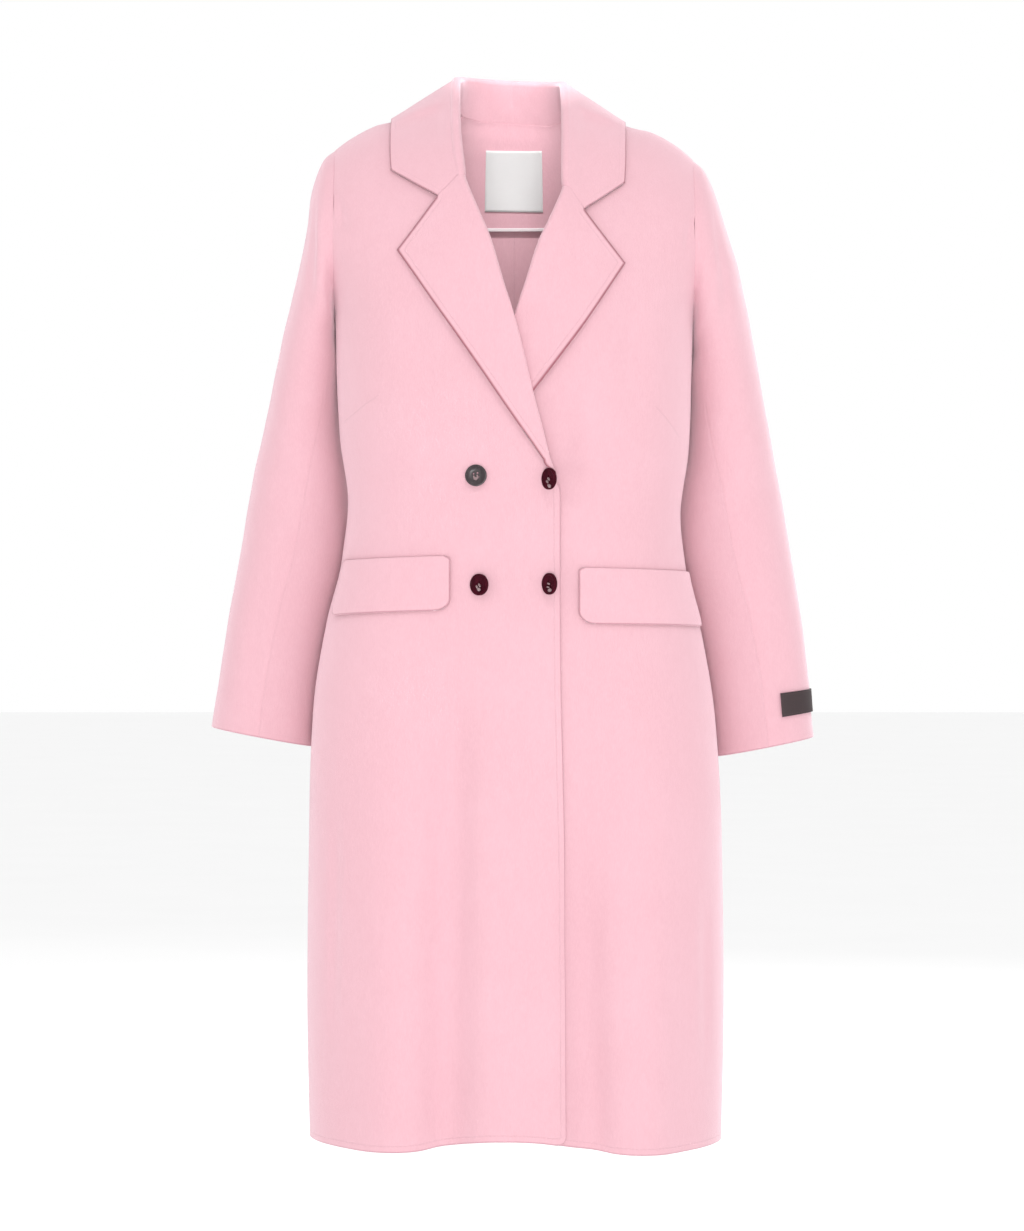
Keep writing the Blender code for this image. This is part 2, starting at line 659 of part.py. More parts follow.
def neck_seam(side, place):
    """A point of the coat's neck seam: 0 at the gorge, 1 on the shoulder, 2 at the centre back."""
    if place <= 1.0:
        level = GORGE_LEVEL + (1.0 - GORGE_LEVEL) * place
        angle = edge_angle(side, level)
    else:
        level = 1.0 + (NECK_LEVEL - 1.0) * (place - 1.0)
        angle = back_neck_angle(side, level)
        if place >= 2.0:
            angle = math.pi / 2
    return body_point(angle, level), body_normal(angle, level)


def collar_section(side, place):
    """Middle line of the collar across one station, from the neck seam over the fold to the edge."""
    row = {name: between(COLLAR, place, name) for name in Station._fields[1:]}
    fold = Vector((side * row["fold_x"] - row["slide"], row["fold_y"], row["fold_z"]))
    ahead = Vector((side * between(COLLAR, place + 0.02, "fold_x"), between(COLLAR, place + 0.02, "fold_y"),
                    between(COLLAR, place + 0.02, "fold_z")))
    behind = Vector((side * between(COLLAR, place - 0.02, "fold_x"), between(COLLAR, place - 0.02, "fold_y"),
                     between(COLLAR, place - 0.02, "fold_z")))
    if place >= 2.0:
        ahead = Vector((-side * between(COLLAR, 1.98, "fold_x"), behind.y, behind.z))
    path = (ahead - behind).normalized()
    seam, out = neck_seam(side, place)
    seam = seam - out * (CLOTH / 2)
    rise = (fold - seam)
    rise = (rise - path * rise.dot(path)).normalized()
    away = rise.cross(path).normalized()
    guide = Vector((side, -0.6, 0.2)) if place < 1.0 else Vector((side * 0.5, 1.0, 0.0))
    if away.dot(guide) < 0:
        away = -away
    radius = row["radius"]
    centre = fold - rise * radius
    seam = seam + rise * 0.0018
    inside = centre - away * radius
    section = [seam, seam.lerp(inside, 0.5), inside]
    for degrees in (45.0, 90.0, 135.0):
        turn = math.radians(degrees)
        section.append(centre - away * radius * math.cos(turn) + rise * radius * math.sin(turn))
    begin = centre + away * radius
    outer_x = side * row["outer_x"] - row["shift"]
    angle = angle_at(outer_x, row["outer_level"], front=place < 1.0)
    outer = body_point(angle, row["outer_level"])
    outer = outer + body_normal(angle, row["outer_level"]) * (LAYER_GAP + CLOTH / 2)
    section.append(begin)
    for share in (0.2, 0.38, 0.6, 0.8, 1.0):
        point = begin.lerp(outer, share)
        if place < 0.6:
            lift = LAYER_GAP + CLOTH / 2 + 0.006 * (1.0 - share) ** 2
            low = on_front(side, point.x, point.z, lift)[0]
            point = low
        else:
            point = point + away * row["bulge"] * math.sin(math.pi * share)
        section.append(point)
    return section


def make_collar():
    """Stand and fall in one piece of cloth, from one notch round the neck to the other."""
    places = [(-1, place) for place in COLLAR_STEPS] + [(1, place) for place in COLLAR_STEPS[-2::-1]]
    middle = [collar_section(side, max(place, 0.05)) for side, place in places]
    for row, side in ((middle[0], -1), (middle[-1], 1)):
        gorge = Vector((side * -front_edge_x(GORGE_Z), GORGE_Z))
        notch = Vector((side * NOTCH[0] - LAPEL_SHIFT, NOTCH[1]))
        corner = Vector((side * COLLAR_CORNER[0] - LEAF_SHIFT, COLLAR_CORNER[1]))
        for k, share in enumerate((0.5, 1.0)):
            flat = gorge.lerp(notch, share) + Vector((side * 0.0004, 0.0018))
            row[7 + k] = on_front(side, flat.x, flat.y, LAYER_GAP + CLOTH / 2 + 0.006 * (0.75 - share * 0.5) ** 2)[0]
        for k, share in enumerate((0.38, 0.7, 1.0)):
            flat = notch.lerp(corner, share)
            row[9 + k] = on_front(side, flat.x, flat.y, LAYER_GAP + CLOTH / 2)[0]
    columns = len(middle[0])
    points = [p for row in middle for p in row]
    normals = []
    for r, row in enumerate(middle):
        for c in range(columns):
            across = row[min(c + 1, columns - 1)] - row[max(c - 1, 0)]
            along = middle[min(r + 1, len(middle) - 1)][c] - middle[max(r - 1, 0)][c]
            normals.append(across.cross(along).normalized())
    half = CLOTH / 2
    outer = [p + n * half for p, n in zip(points, normals)]
    inner = [p - n * half for p, n in zip(points, normals)]
    return cloth_solid("collar", outer, inner, grid_faces(len(middle), columns), wool["collar"])


def make_facing():
    """The back-neck facing inside the back, sewn at the neck and free along its lower edge."""
    points, outs = [], []
    for z, half in ((-0.128, 0.080), (-0.118, 0.086), (-0.098, 0.086), (-0.078, 0.084), (-0.058, 0.076), (-0.040, 0.064),
                    (-0.030, 0.054)):
        row, directions = [], []
        for i in range(-6, 7):
            angle, level = place_at(half * i / 6, z, front=False)
            row.append(body_point(angle, level))
            directions.append(-body_normal(angle, level))
        points.append(row)
        outs.append(directions)
    return lay_on("back_neck_facing", points, outs, FACING, wool["back_neck_facing"], CLOTH + FACING_GAP)


def make_neck_label():
    points, outs = [], []
    for z in (-0.102, -0.080, -0.058, -0.036):
        row, directions = [], []
        for i in range(-2, 3):
            angle, level = place_at(0.0165 * i, z, front=False)
            row.append(body_point(angle, level))
            directions.append(-body_normal(angle, level))
        points.append(row)
        outs.append(directions)
    white = material("satin_label", (0.9, 0.9, 0.88), 0.6)
    return lay_on("neck_label", points, outs, LABEL_WALL, white, CLOTH + FACING_GAP + FACING + 0.0006)


def make_cuff_label():
    """The woven label on the wearer's left cuff, on the outer side of the top sleeve."""
    points, outs = [], []
    for step in (14.15, 14.6, 15.05):
        row, directions = [], []
        for i in range(9):
            phi = math.radians(70.0 - 82.0 * i / 8)
            row.append(sleeve_point(1, phi, step))
            directions.append(sleeve_normal(1, phi, step))
        points.append(row)
        outs.append(directions)
    dark = material("woven_label", (0.03, 0.015, 0.018), 0.7)
    return lay_on("cuff_label", points, outs, LABEL_WALL, dark)


def make_flap(name, flap):
    """A pocket flap from the points of its front, moved out, with rounded lower corners."""
    points, outs = [], []
    columns, rows = 10, 6
    start = place_at(flap.side * flap.inner_x, flap.top_inner)[0]
    end = side_angle(flap.side, -0.28) - flap.side * math.radians(flap.side_angle)
    for r in range(rows + 1):
        down = r / rows
        row, directions = [], []
        for c in range(columns + 1):
            share = c / columns
            top = flap.top_inner + (flap.top_outer - flap.top_inner) * share
            bottom = flap.bottom_inner + (flap.bottom_outer - flap.bottom_inner) * share
            z = top + (bottom - top) * down
            low = max(0.0, FLAP_CORNER - (z - bottom))
            inset = FLAP_CORNER - math.sqrt(max(0.0, FLAP_CORNER ** 2 - low ** 2))
            level = z - ARMPIT_Z
            turn = math.copysign(inset / 0.15, end - start)
            first, last = start + turn, end - turn
            angle = first + (last - first) * share
            point, out = body_point(angle, level), body_normal(angle, level)
            row.append(point + out * layer(flap.side, point))
            directions.append(out)
        points.append(row)
        outs.append(directions)
    return lay_on(name, points, outs, CLOTH, wool[name])


def make_button(button, colour_material):
    """A turned four-hole button, its lowest point just clear of the cloth."""
    profile = (
        (0.0, 0.0), (0.62, 0.0), (0.90, 0.25), (1.0, 0.55), (0.97, 0.85), (0.88, 1.0),
        (0.78, 0.95), (0.68, 0.72), (0.0, 0.66),
    )
    bm = bmesh.new()
    loop = [bm.verts.new((r * BUTTON_RADIUS, 0.0, h * BUTTON_HEIGHT)) for r, h in profile]
    edges = [bm.edges.new(pair) for pair in zip(loop, loop[1:])]
    bmesh.ops.spin(bm, geom=loop + edges, cent=(0, 0, 0), axis=(0, 0, 1), angle=2 * math.pi, steps=16,
                   use_merge=True)
    bmesh.ops.remove_doubles(bm, verts=bm.verts, dist=1e-6)
    made = add_object(button.name, bm, colour_material)
    holes = bmesh.new()
    for across in (-1, 1):
        for up in (-1, 1):
            spot = Matrix.Translation((across * BUTTON_HOLE_OFFSET, up * BUTTON_HOLE_OFFSET, BUTTON_HEIGHT / 2))
            bmesh.ops.create_cone(holes, cap_ends=True, segments=6, radius1=BUTTON_HOLE_RADIUS,
                                  radius2=BUTTON_HOLE_RADIUS, depth=BUTTON_HEIGHT * 2, matrix=spot)
    cutter = add_object(button.name + "_holes", holes, colour_material, cutters)
    cutter.hide_render = True
    cutter.display_type = "WIRE"
    cut = made.modifiers.new("holes", "BOOLEAN")
    cut.operation = "DIFFERENCE"
    cut.solver = "EXACT"
    cut.object = cutter
    angle, level = place_at(button.x, button.z)
    surface, out = body_point(angle, level), body_normal(angle, level)
    face = Matrix.Rotation(math.radians(90.0), 4, "X")
    facing = math.atan2(out.x, -out.y)
    turned = Matrix.Rotation(facing + math.radians(button.turn), 4, "Z")
    leaned = Matrix.Rotation(math.radians(button.lean), 4, "Y")
    spin = turned @ leaned @ face
    axis = (spin.to_3x3() @ Vector((0, 0, 1))).normalized()
    reach = BUTTON_RADIUS * math.sqrt(max(0.0, 1.0 - axis.dot(out) ** 2))
    place = Matrix.Translation(settle(surface) + out * (reach + 0.0006)) @ spin
    made.matrix_world = place
    cutter.matrix_world = place
    return made


make_front("front_right", -1)
make_front("front_left", 1)
make_back("back_right", -1)
make_back("back_left", 1)
for side, word in ((-1, "right"), (1, "left")):
    make_sleeve_piece("sleeve_top_" + word, side, True)
    make_sleeve_piece("sleeve_under_" + word, side, False)
make_collar()
make_facing()
make_neck_label()
make_cuff_label()
make_flap("flap_right", FLAPS[0])
make_flap("flap_left", FLAPS[1])
for number, button in enumerate(BUTTONS):
    horn = material("horn_%d" % (number + 1), (0.045 + 0.004 * number, 0.012, 0.016), 0.3)
    make_button(button, horn)
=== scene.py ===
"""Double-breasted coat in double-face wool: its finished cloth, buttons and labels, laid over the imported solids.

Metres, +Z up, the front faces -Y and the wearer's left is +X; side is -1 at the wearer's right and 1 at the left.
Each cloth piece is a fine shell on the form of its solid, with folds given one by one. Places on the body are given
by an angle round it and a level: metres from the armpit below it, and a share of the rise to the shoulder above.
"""

import math
from collections import namedtuple
from functools import partial

import bpy
import numpy as np
from mathutils import Matrix, Vector
from mathutils.kdtree import KDTree


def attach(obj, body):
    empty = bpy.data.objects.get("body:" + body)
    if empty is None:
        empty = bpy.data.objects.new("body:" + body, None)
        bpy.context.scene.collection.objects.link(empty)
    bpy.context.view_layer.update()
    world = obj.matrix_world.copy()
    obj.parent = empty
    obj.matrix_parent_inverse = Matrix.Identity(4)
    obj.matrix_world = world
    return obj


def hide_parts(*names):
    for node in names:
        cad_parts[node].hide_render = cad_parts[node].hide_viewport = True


bl_info = {
    "name": "Double-breasted coat",
    "version": (1, 0, 0),
    "blender": (4, 5, 0),
    "location": "3D View > Sidebar > Coat",
    "description": "Finishes the cloth, buttons and labels of a filled-out wool coat",
    "category": "Object",
}

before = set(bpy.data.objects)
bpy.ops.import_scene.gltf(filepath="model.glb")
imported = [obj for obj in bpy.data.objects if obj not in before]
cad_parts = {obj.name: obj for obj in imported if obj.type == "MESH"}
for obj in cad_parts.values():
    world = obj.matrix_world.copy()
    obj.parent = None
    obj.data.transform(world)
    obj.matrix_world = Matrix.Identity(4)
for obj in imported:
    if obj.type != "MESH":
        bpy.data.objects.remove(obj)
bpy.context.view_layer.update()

# Body: heights, widths and gaps, in metres; SQUARE flattens its oval
ARMPIT_Z = -0.2316
ARMHOLE_X = 0.190
SQUARE = 0.10
SEAM_GAP = 0.00004
LAYER_GAP = 0.0014
HEM_ROW = -1.0865
HEM_WAVE_TOP = -0.900
HEM_WAVE_REACH = 0.19
HEM_CORNER = 0.010
LEAN_WIDTH = 0.085
UNDER_WIDTH = 0.070
BODY_DRAPE = 0.00045
SEAM_WIDTH = 0.0016
PLAIN_ARMHOLE, PLAIN_NECK_X, PLAIN_NECK_Z = 0.012, 0.062, -0.035

# Lapels and collar: places as x and z at the wearer's left
GORGE_Z = -0.0955
BREAK_Z = -0.418
TURN_Z = -0.398
LAPEL_BASE = -0.380
LAPEL_CURVE = 0.0025
LAPEL_LIFT = 0.0036
LAPEL_FOOT = (-0.0335, LAPEL_BASE - 0.004)
TONGUE_Z, TONGUE_REACH = -0.3945, 0.0145
TONGUE_WIDTH, TONGUE_SPREAD = 0.0006, 0.0046
NOTCH = (0.0757, -0.1170)
NOTCH_SHARE, TIP_SHARE = 0.33, 0.67
TIP = (0.1181, -0.1720)
COLLAR_CORNER = (0.1221, -0.0860)
LAPEL_SHIFT = 0.0032
LEAF_SHIFT = 0.0065
NECK_LEVEL = 0.5285
COLLAR_BLEND = 0.34
BACK_EDGE_Z = -0.0355
BACK_EDGE_DROP = 0.0025

# Rows of points across the lapel's fold and the collar
ARC_STEPS = 12
STAND = np.array((0.0, 0.012, 0.035, 0.09, 0.22, 0.45, 0.72, 1.0))
STAND_STEPS, FOLD_STEPS, FALL_STEPS = len(STAND) - 1, 10, 30
GORGE_STEPS = int(0.4 * FALL_STEPS)
KNEE = STAND_STEPS + 1 + FOLD_STEPS

# Small pieces
SLEEVE_STRETCH = (0.00105, 0.0435)
SLEEVE_DRAPE = 0.0006
SLEEVE_SEAM_RADIUS = 0.05
FLAP_CORNER = 0.013
FLAP_TOP_CORNER = 0.0045
FLAP_SWELL = 0.0012
FLAP_TURN_RADIUS = 0.15
FACING_LOW = -0.1225
FACING_HALF = 0.080
FACING_WALL = 0.0018
FACING_GAP = 0.0024
BINDING_WALL = 0.0007
LABEL_WALL = 0.0008
NECK_LABEL_HALF = 0.033
NECK_LABEL_Z = (-0.102, -0.036)
CUFF_LABEL_STEPS = (14.15, 15.05)
CUFF_LABEL_ANGLES = (70.0, -12.0)
HOLE_PLACE = 0.0021
HOLE_RADIUS = 0.0010
HOLE_TURN, HOLE_TURN_STEP = 12.0, 23.0
DISH = ((0.13, 0.0), (0.06, -0.16), (0.10, -0.22), (0.30, -0.04), (0.22, 0.0))
THREAD_RADIUS = 0.00030
THREAD_PITCH = 0.00042
SHANK_RADIUS = 0.0015

# The picture: rows of the frame and metres for each, and the camera's place
FRAME_ROWS = 1231
FRAME_SCALE = 1.065e-3
CAMERA_X, CAMERA_Z = -0.00213, -0.5437
SENSOR = 36.0

Section = namedtuple("Section", "z half_width front_depth back_depth fold")
BODY = (
    Section(-1.100, 0.2185, 0.130, 0.138, 0.0110),
    Section(-0.950, 0.2215, 0.130, 0.140, 0.0095),
    Section(-0.750, 0.2190, 0.128, 0.139, 0.0060),
    Section(-0.650, 0.2140, 0.124, 0.135, 0.0035),
    Section(-0.560, 0.2005, 0.119, 0.128, 0.0015),
    Section(-0.490, 0.1830, 0.114, 0.113, 0.0000),
    Section(-0.430, 0.1770, 0.113, 0.103, 0.0000),
    Section(-0.360, 0.1860, 0.123, 0.107, 0.0000),
    Section(-0.300, 0.1885, 0.129, 0.112, 0.0000),
    Section(ARMPIT_Z, ARMHOLE_X, 0.128, 0.117, 0.0000),
)
Hem = namedtuple("Hem", "x drop")
HEM_LINE = (
    Hem(0.000, 0.0005), Hem(0.020, 0.0010), Hem(0.047, 0.0040), Hem(0.073, 0.0088), Hem(0.100, 0.0128),
    Hem(0.127, 0.0142), Hem(0.153, 0.0146), Hem(0.180, 0.0136), Hem(0.220, 0.0115),
)
# Waves of the skirt, as shares of the section's fold
Wave = namedtuple("Wave", "x width share")
FRONT_WAVES = (Wave(0.144, 0.034, -1.0), Wave(0.069, 0.024, 0.8))
BACK_WAVES = (Wave(0.105, 0.036, 1.0), Wave(0.0, 0.030, -0.5))
Upper = namedtuple("Upper", "rise half_width front_depth back_depth shift")
SHOULDERS = (
    Upper(-0.06, ARMHOLE_X + 0.0016, 0.129, 0.117, 0.000),
    Upper(0.00, ARMHOLE_X, 0.128, 0.117, 0.000),
    Upper(0.06, 0.1920, 0.1275, 0.1175, 0.0003),
    Upper(0.12, 0.1968, 0.1265, 0.118, 0.001),
    Upper(0.20, 0.2050, 0.1245, 0.1185, 0.002),
    Upper(0.30, 0.2145, 0.122, 0.119, 0.003),
    Upper(0.50, 0.2240, 0.117, 0.117, 0.005),
    Upper(1.00, 0.2250, 0.105, 0.105, 0.010),
)
Ridge = namedtuple("Ridge", "x z")
SHOULDER_LINE = (
    Ridge(-0.020, 0.0640), Ridge(0.000, 0.0700), Ridge(0.020, 0.0640), Ridge(0.035, 0.0480),
    Ridge(0.049, 0.0270), Ridge(0.058, 0.0115), Ridge(0.0655, 0.0030), Ridge(0.090, -0.0075),
    Ridge(0.128, -0.0205), Ridge(0.144, -0.0240), Ridge(0.155, -0.0285), Ridge(0.166, -0.0345),
    Ridge(0.177, -0.0415), Ridge(ARMHOLE_X, -0.0520),
)
Edge = namedtuple("Edge", "z x")
FRONT_EDGE = (
    Edge(-1.100, 0.0536), Edge(-0.985, 0.0536), Edge(-0.837, 0.0526), Edge(-0.708, 0.0506),
    Edge(-0.528, 0.0486), Edge(BREAK_Z, 0.0485), Edge(-0.409, 0.0481), Edge(-0.401, 0.0451),
    Edge(-0.392, 0.0403), Edge(LAPEL_BASE, 0.0352), Edge(-0.355, 0.0286), Edge(-0.314, 0.0175), Edge(-0.244, 0.0000),
    Edge(-0.1975, -0.0155), Edge(-0.1555, -0.0290), Edge(-0.134, -0.0388), Edge(GORGE_Z, -0.0545),
    Edge(-0.067, -0.0615), Edge(-0.040, -0.0655), Edge(-0.018, -0.0668), Edge(0.003, -0.0655),
)
Roll = namedtuple("Roll", "z height")
LAPEL_ROLL = (Roll(-0.400, 0.0016), Roll(-0.250, 0.0018), Roll(-0.190, 0.0034), Roll(GORGE_Z, 0.0066))
Under = namedtuple("Under", "z depth")
UNDER_FRONT = (
    Under(-1.100, 0.0034), Under(-0.430, 0.0036), Under(-0.412, 0.0080), Under(-0.400, 0.0102),
    Under(-0.360, 0.0095), Under(-0.244, 0.0090), Under(-0.190, 0.0000),
)
Neck = namedtuple("Neck", "level x")
NECK_SEAM = (
    Neck(NECK_LEVEL, 0.0), Neck(0.533, 0.0100), Neck(0.543, 0.0200), Neck(0.567, 0.0300), Neck(0.604, 0.0400),
    Neck(0.635, 0.0450), Neck(0.668, 0.0500), Neck(0.710, 0.0545), Neck(0.758, 0.0585), Neck(0.830, 0.0622),
    Neck(1.000, 0.0655),
)
Hang = namedtuple("Hang", "z drop sway")
HANG = (
    Hang(-1.100, 0.0015, 0.0016), Hang(-0.800, 0.0050, 0.0016), Hang(-0.600, 0.0056, 0.0000),
    Hang(-0.240, 0.0070, 0.0000), Hang(-0.080, 0.0068, 0.0000), Hang(-0.030, 0.0038, 0.0000),
    Hang(0.000, 0.0035, 0.0000), Hang(0.040, 0.0030, 0.0000),
)
Ring = namedtuple("Ring", "step out_x out_z in_x in_z mid_y half_y sway front_seam back_seam")
SLEEVE = (
    Ring(0.0, 0.1903, -0.0530, 0.1903, -0.2316, 0.005, 0.058, 0.0000, 150.0, 238.0),
    Ring(0.6, 0.2010, -0.0620, 0.1906, -0.2345, 0.006, 0.061, 0.0000, 150.0, 238.0),
    Ring(1.2, 0.2095, -0.0780, 0.1905, -0.2375, 0.008, 0.064, 0.0005, 149.0, 239.0),
    Ring(2.0, 0.2171, -0.1000, 0.1904, -0.2410, 0.011, 0.066, 0.0015, 148.0, 240.0),
    Ring(3.0, 0.2253, -0.1350, 0.1903, -0.2455, 0.015, 0.068, 0.0045, 146.0, 240.0),
    Ring(4.0, 0.2343, -0.1670, 0.1903, -0.2530, 0.022, 0.069, 0.0065, 143.0, 241.0),
    Ring(5.0, 0.2436, -0.2060, 0.1888, -0.2640, 0.030, 0.069, 0.0064, 139.0, 242.0),
    Ring(6.0, 0.2528, -0.2470, 0.1862, -0.2820, 0.037, 0.068, 0.0050, 133.0, 243.0),
    Ring(7.0, 0.2634, -0.2980, 0.1870, -0.3120, 0.044, 0.066, 0.0040, 126.0, 245.0),
    Ring(8.0, 0.2733, -0.3500, 0.1850, -0.3580, 0.050, 0.064, 0.0035, 115.0, 247.0),
    Ring(9.0, 0.2831, -0.3990, 0.1780, -0.4040, 0.052, 0.062, 0.0027, 101.0, 249.0),
    Ring(10.0, 0.2918, -0.4460, 0.1750, -0.4510, 0.053, 0.060, 0.0026, 95.0, 251.0),
    Ring(11.0, 0.2994, -0.4900, 0.1790, -0.4950, 0.053, 0.058, 0.0025, 92.0, 253.0),
    Ring(12.0, 0.3056, -0.5270, 0.1895, -0.5340, 0.052, 0.056, 0.0020, 90.0, 255.0),
    Ring(13.0, 0.3120, -0.5700, 0.2000, -0.5790, 0.052, 0.053, 0.0015, 89.0, 257.0),
    Ring(14.0, 0.3174, -0.6120, 0.2080, -0.6250, 0.051, 0.050, 0.0005, 88.0, 259.0),
    Ring(15.0, 0.3208, -0.6400, 0.2115, -0.6560, 0.050, 0.048, -0.0010, 88.0, 261.0),
    Ring(16.0, 0.3243, -0.6690, 0.2150, -0.6900, 0.048, 0.047, -0.0020, 88.0, 262.0),
)
Station = namedtuple("Station", "place fold_x fold_y fold_z outer_x outer_level radius shift bulge slide")
COLLAR = (
    Station(0.00, 0.0505, -0.1058, -0.0940, 0.1221, 0.479, 0.0045, 0.0065, 0.0000, 0.0005),
    Station(0.30, 0.0545, -0.0905, -0.0640, 0.1230, 0.567, 0.0044, 0.0065, 0.0000, 0.0025),
    Station(0.55, 0.0562, -0.0720, -0.0340, 0.1236, 0.685, 0.0042, 0.0065, 0.0000, 0.0035),
    Station(0.78, 0.0568, -0.0440, -0.0010, 0.1240, 0.837, 0.0040, 0.0062, 0.0020, 0.0042),
    Station(1.00, 0.0562, -0.0080, 0.0235, 0.1236, 1.000, 0.0038, 0.0060, 0.0005, 0.0045),
    Station(1.30, 0.0530, 0.0280, 0.0300, 0.1150, 0.773, 0.0036, 0.0040, 0.0020, 0.0040),
    Station(1.65, 0.0350, 0.0570, 0.0330, 0.0750, 0.644, 0.0036, 0.0015, 0.0025, 0.0030),
    Station(2.00, 0.0000, 0.0690, 0.0340, 0.0000, 0.455, 0.0036, 0.0000, 0.0025, 0.0030),
)
Flap = namedtuple("Flap", "name side inner_x side_angle top_inner top_outer bottom_inner bottom_outer")
FLAPS = (
    Flap("flap_right", -1, 0.0655, 17.0, -0.4880, -0.4925, -0.5450, -0.5500),
    Flap("flap_left", 1, 0.0670, 7.0, -0.4880, -0.4920, -0.5470, -0.5500),
)
Button = namedtuple("Button", "name x z turn lean")
BUTTONS = (
    Button("button_upper_right", -0.0393, -0.4046, 0.0, 0.0),
    Button("button_lower_right", -0.0355, -0.5177, -33.0, 4.0),
    Button("button_upper_left", 0.0352, -0.3984, -58.0, 8.0),
    Button("button_lower_left", 0.0357, -0.5097, -57.0, 4.0),
)

# Folds of the body: three places on the fold's line, its depth (a ridge is negative), its half width, and
# how much of each end fades out
Fold = namedtuple("Fold", "x0 z0 x1 z1 x2 z2 depth width fade0 fade2")
FRONT_FOLDS = (
    Fold(-0.108, -0.150, -0.095, -0.290, -0.072, -0.450, 0.0022, 0.022, 0.30, 0.45),
    Fold(-0.046, -0.560, -0.066, -0.720, -0.072, -1.110, 0.0080, 0.024, 0.30, 0.00),
    Fold(-0.120, -0.700, -0.118, -0.880, -0.116, -1.110, -0.0020, 0.026, 0.45, 0.00),
    Fold(-0.030, -0.650, -0.026, -0.860, -0.018, -1.110, -0.0016, 0.022, 0.45, 0.00),
    Fold(-0.187, -0.720, -0.189, -0.860, -0.190, -1.020, 0.0016, 0.006, 0.30, 0.40),
    Fold(0.116, -0.180, 0.121, -0.270, 0.124, -0.370, 0.0020, 0.016, 0.35, 0.45),
    Fold(0.066, -0.740, 0.072, -0.900, 0.082, -1.110, 0.0070, 0.020, 0.40, 0.00),
    Fold(0.136, -0.700, 0.138, -0.880, 0.142, -1.110, -0.0018, 0.026, 0.45, 0.00),
    Fold(0.198, -0.810, 0.199, -0.920, 0.200, -1.040, 0.0016, 0.006, 0.30, 0.40),
    Fold(0.056, -0.300, 0.058, -0.350, 0.060, -0.420, 0.0016, 0.010, 0.35, 0.45),
    Fold(-0.176, -0.150, -0.182, -0.128, -0.187, -0.105, 0.0016, 0.005, 0.40, 0.30),
    Fold(0.178, -0.160, 0.184, -0.136, 0.188, -0.112, 0.0016, 0.005, 0.40, 0.30),
    Fold(-0.165, -0.395, -0.130, -0.412, -0.090, -0.420, 0.0010, 0.012, 0.40, 0.50),
    Fold(0.168, -0.410, 0.135, -0.424, 0.095, -0.428, 0.0010, 0.012, 0.40, 0.50),
    Fold(-0.172, -0.452, -0.140, -0.448, -0.105, -0.456, -0.0008, 0.012, 0.40, 0.50),
    Fold(0.172, -0.460, 0.145, -0.455, 0.110, -0.462, -0.0008, 0.012, 0.40, 0.50),
)
BACK_FOLDS = (
    Fold(-0.120, -0.130, -0.102, -0.260, -0.082, -0.400, 0.0020, 0.022, 0.35, 0.45),
    Fold(0.122, -0.140, 0.104, -0.270, 0.086, -0.410, 0.0018, 0.020, 0.35, 0.45),
    Fold(-0.150, -0.410, -0.110, -0.424, -0.060, -0.418, 0.0013, 0.012, 0.40, 0.45),
    Fold(0.152, -0.418, 0.112, -0.430, 0.066, -0.426, 0.0013, 0.012, 0.40, 0.45),
    Fold(-0.130, -0.452, -0.095, -0.462, -0.045, -0.456, 0.0010, 0.011, 0.40, 0.45),
    Fold(0.132, -0.460, 0.092, -0.468, 0.050, -0.462, 0.0010, 0.011, 0.40, 0.45),
    Fold(-0.052, -0.640, -0.056, -0.850, -0.060, -1.110, 0.0040, 0.022, 0.40, 0.00),
    Fold(0.058, -0.700, 0.060, -0.880, 0.064, -1.110, 0.0036, 0.021, 0.40, 0.00),
    Fold(-0.150, -0.760, -0.154, -0.900, -0.158, -1.110, 0.0024, 0.016, 0.45, 0.00),
    Fold(0.156, -0.780, 0.160, -0.920, 0.164, -1.110, 0.0022, 0.016, 0.45, 0.00),
    Fold(-0.170, -0.180, -0.176, -0.150, -0.180, -0.118, 0.0014, 0.006, 0.40, 0.35),
    Fold(0.171, -0.186, 0.177, -0.156, 0.181, -0.124, 0.0014, 0.006, 0.40, 0.35),
)
# Folds of a sleeve, by the angle round it in degrees and the ring's step down it; depth and width in metres
RIGHT_SLEEVE_FOLDS = (
    Fold(40.0, 1.0, 66.0, 3.0, 84.0, 5.6, 0.0020, 0.012, 0.40, 0.40),
    Fold(20.0, 8.2, 60.0, 8.7, 104.0, 8.4, 0.0022, 0.011, 0.45, 0.35),
    Fold(30.0, 9.6, 64.0, 9.9, 100.0, 9.5, 0.0018, 0.010, 0.45, 0.35),
    Fold(104.0, 6.8, 74.0, 7.4, 44.0, 7.3, 0.0014, 0.010, 0.35, 0.50),
    Fold(62.0, 11.0, 72.0, 13.4, 70.0, 15.6, 0.0012, 0.012, 0.40, 0.45),
    Fold(112.0, 10.4, 84.0, 10.9, 58.0, 10.7, 0.0012, 0.009, 0.35, 0.50),
    Fold(-40.0, 2.0, -52.0, 4.6, -58.0, 7.0, 0.0018, 0.012, 0.40, 0.40),
    Fold(-96.0, 9.2, -66.0, 9.7, -36.0, 9.4, 0.0018, 0.011, 0.35, 0.45),
    Fold(-92.0, 11.6, -64.0, 12.0, -40.0, 11.8, 0.0014, 0.010, 0.35, 0.45),
    Fold(2.0, 2.6, 8.0, 5.5, 4.0, 8.4, 0.0010, 0.014, 0.40, 0.40),
)
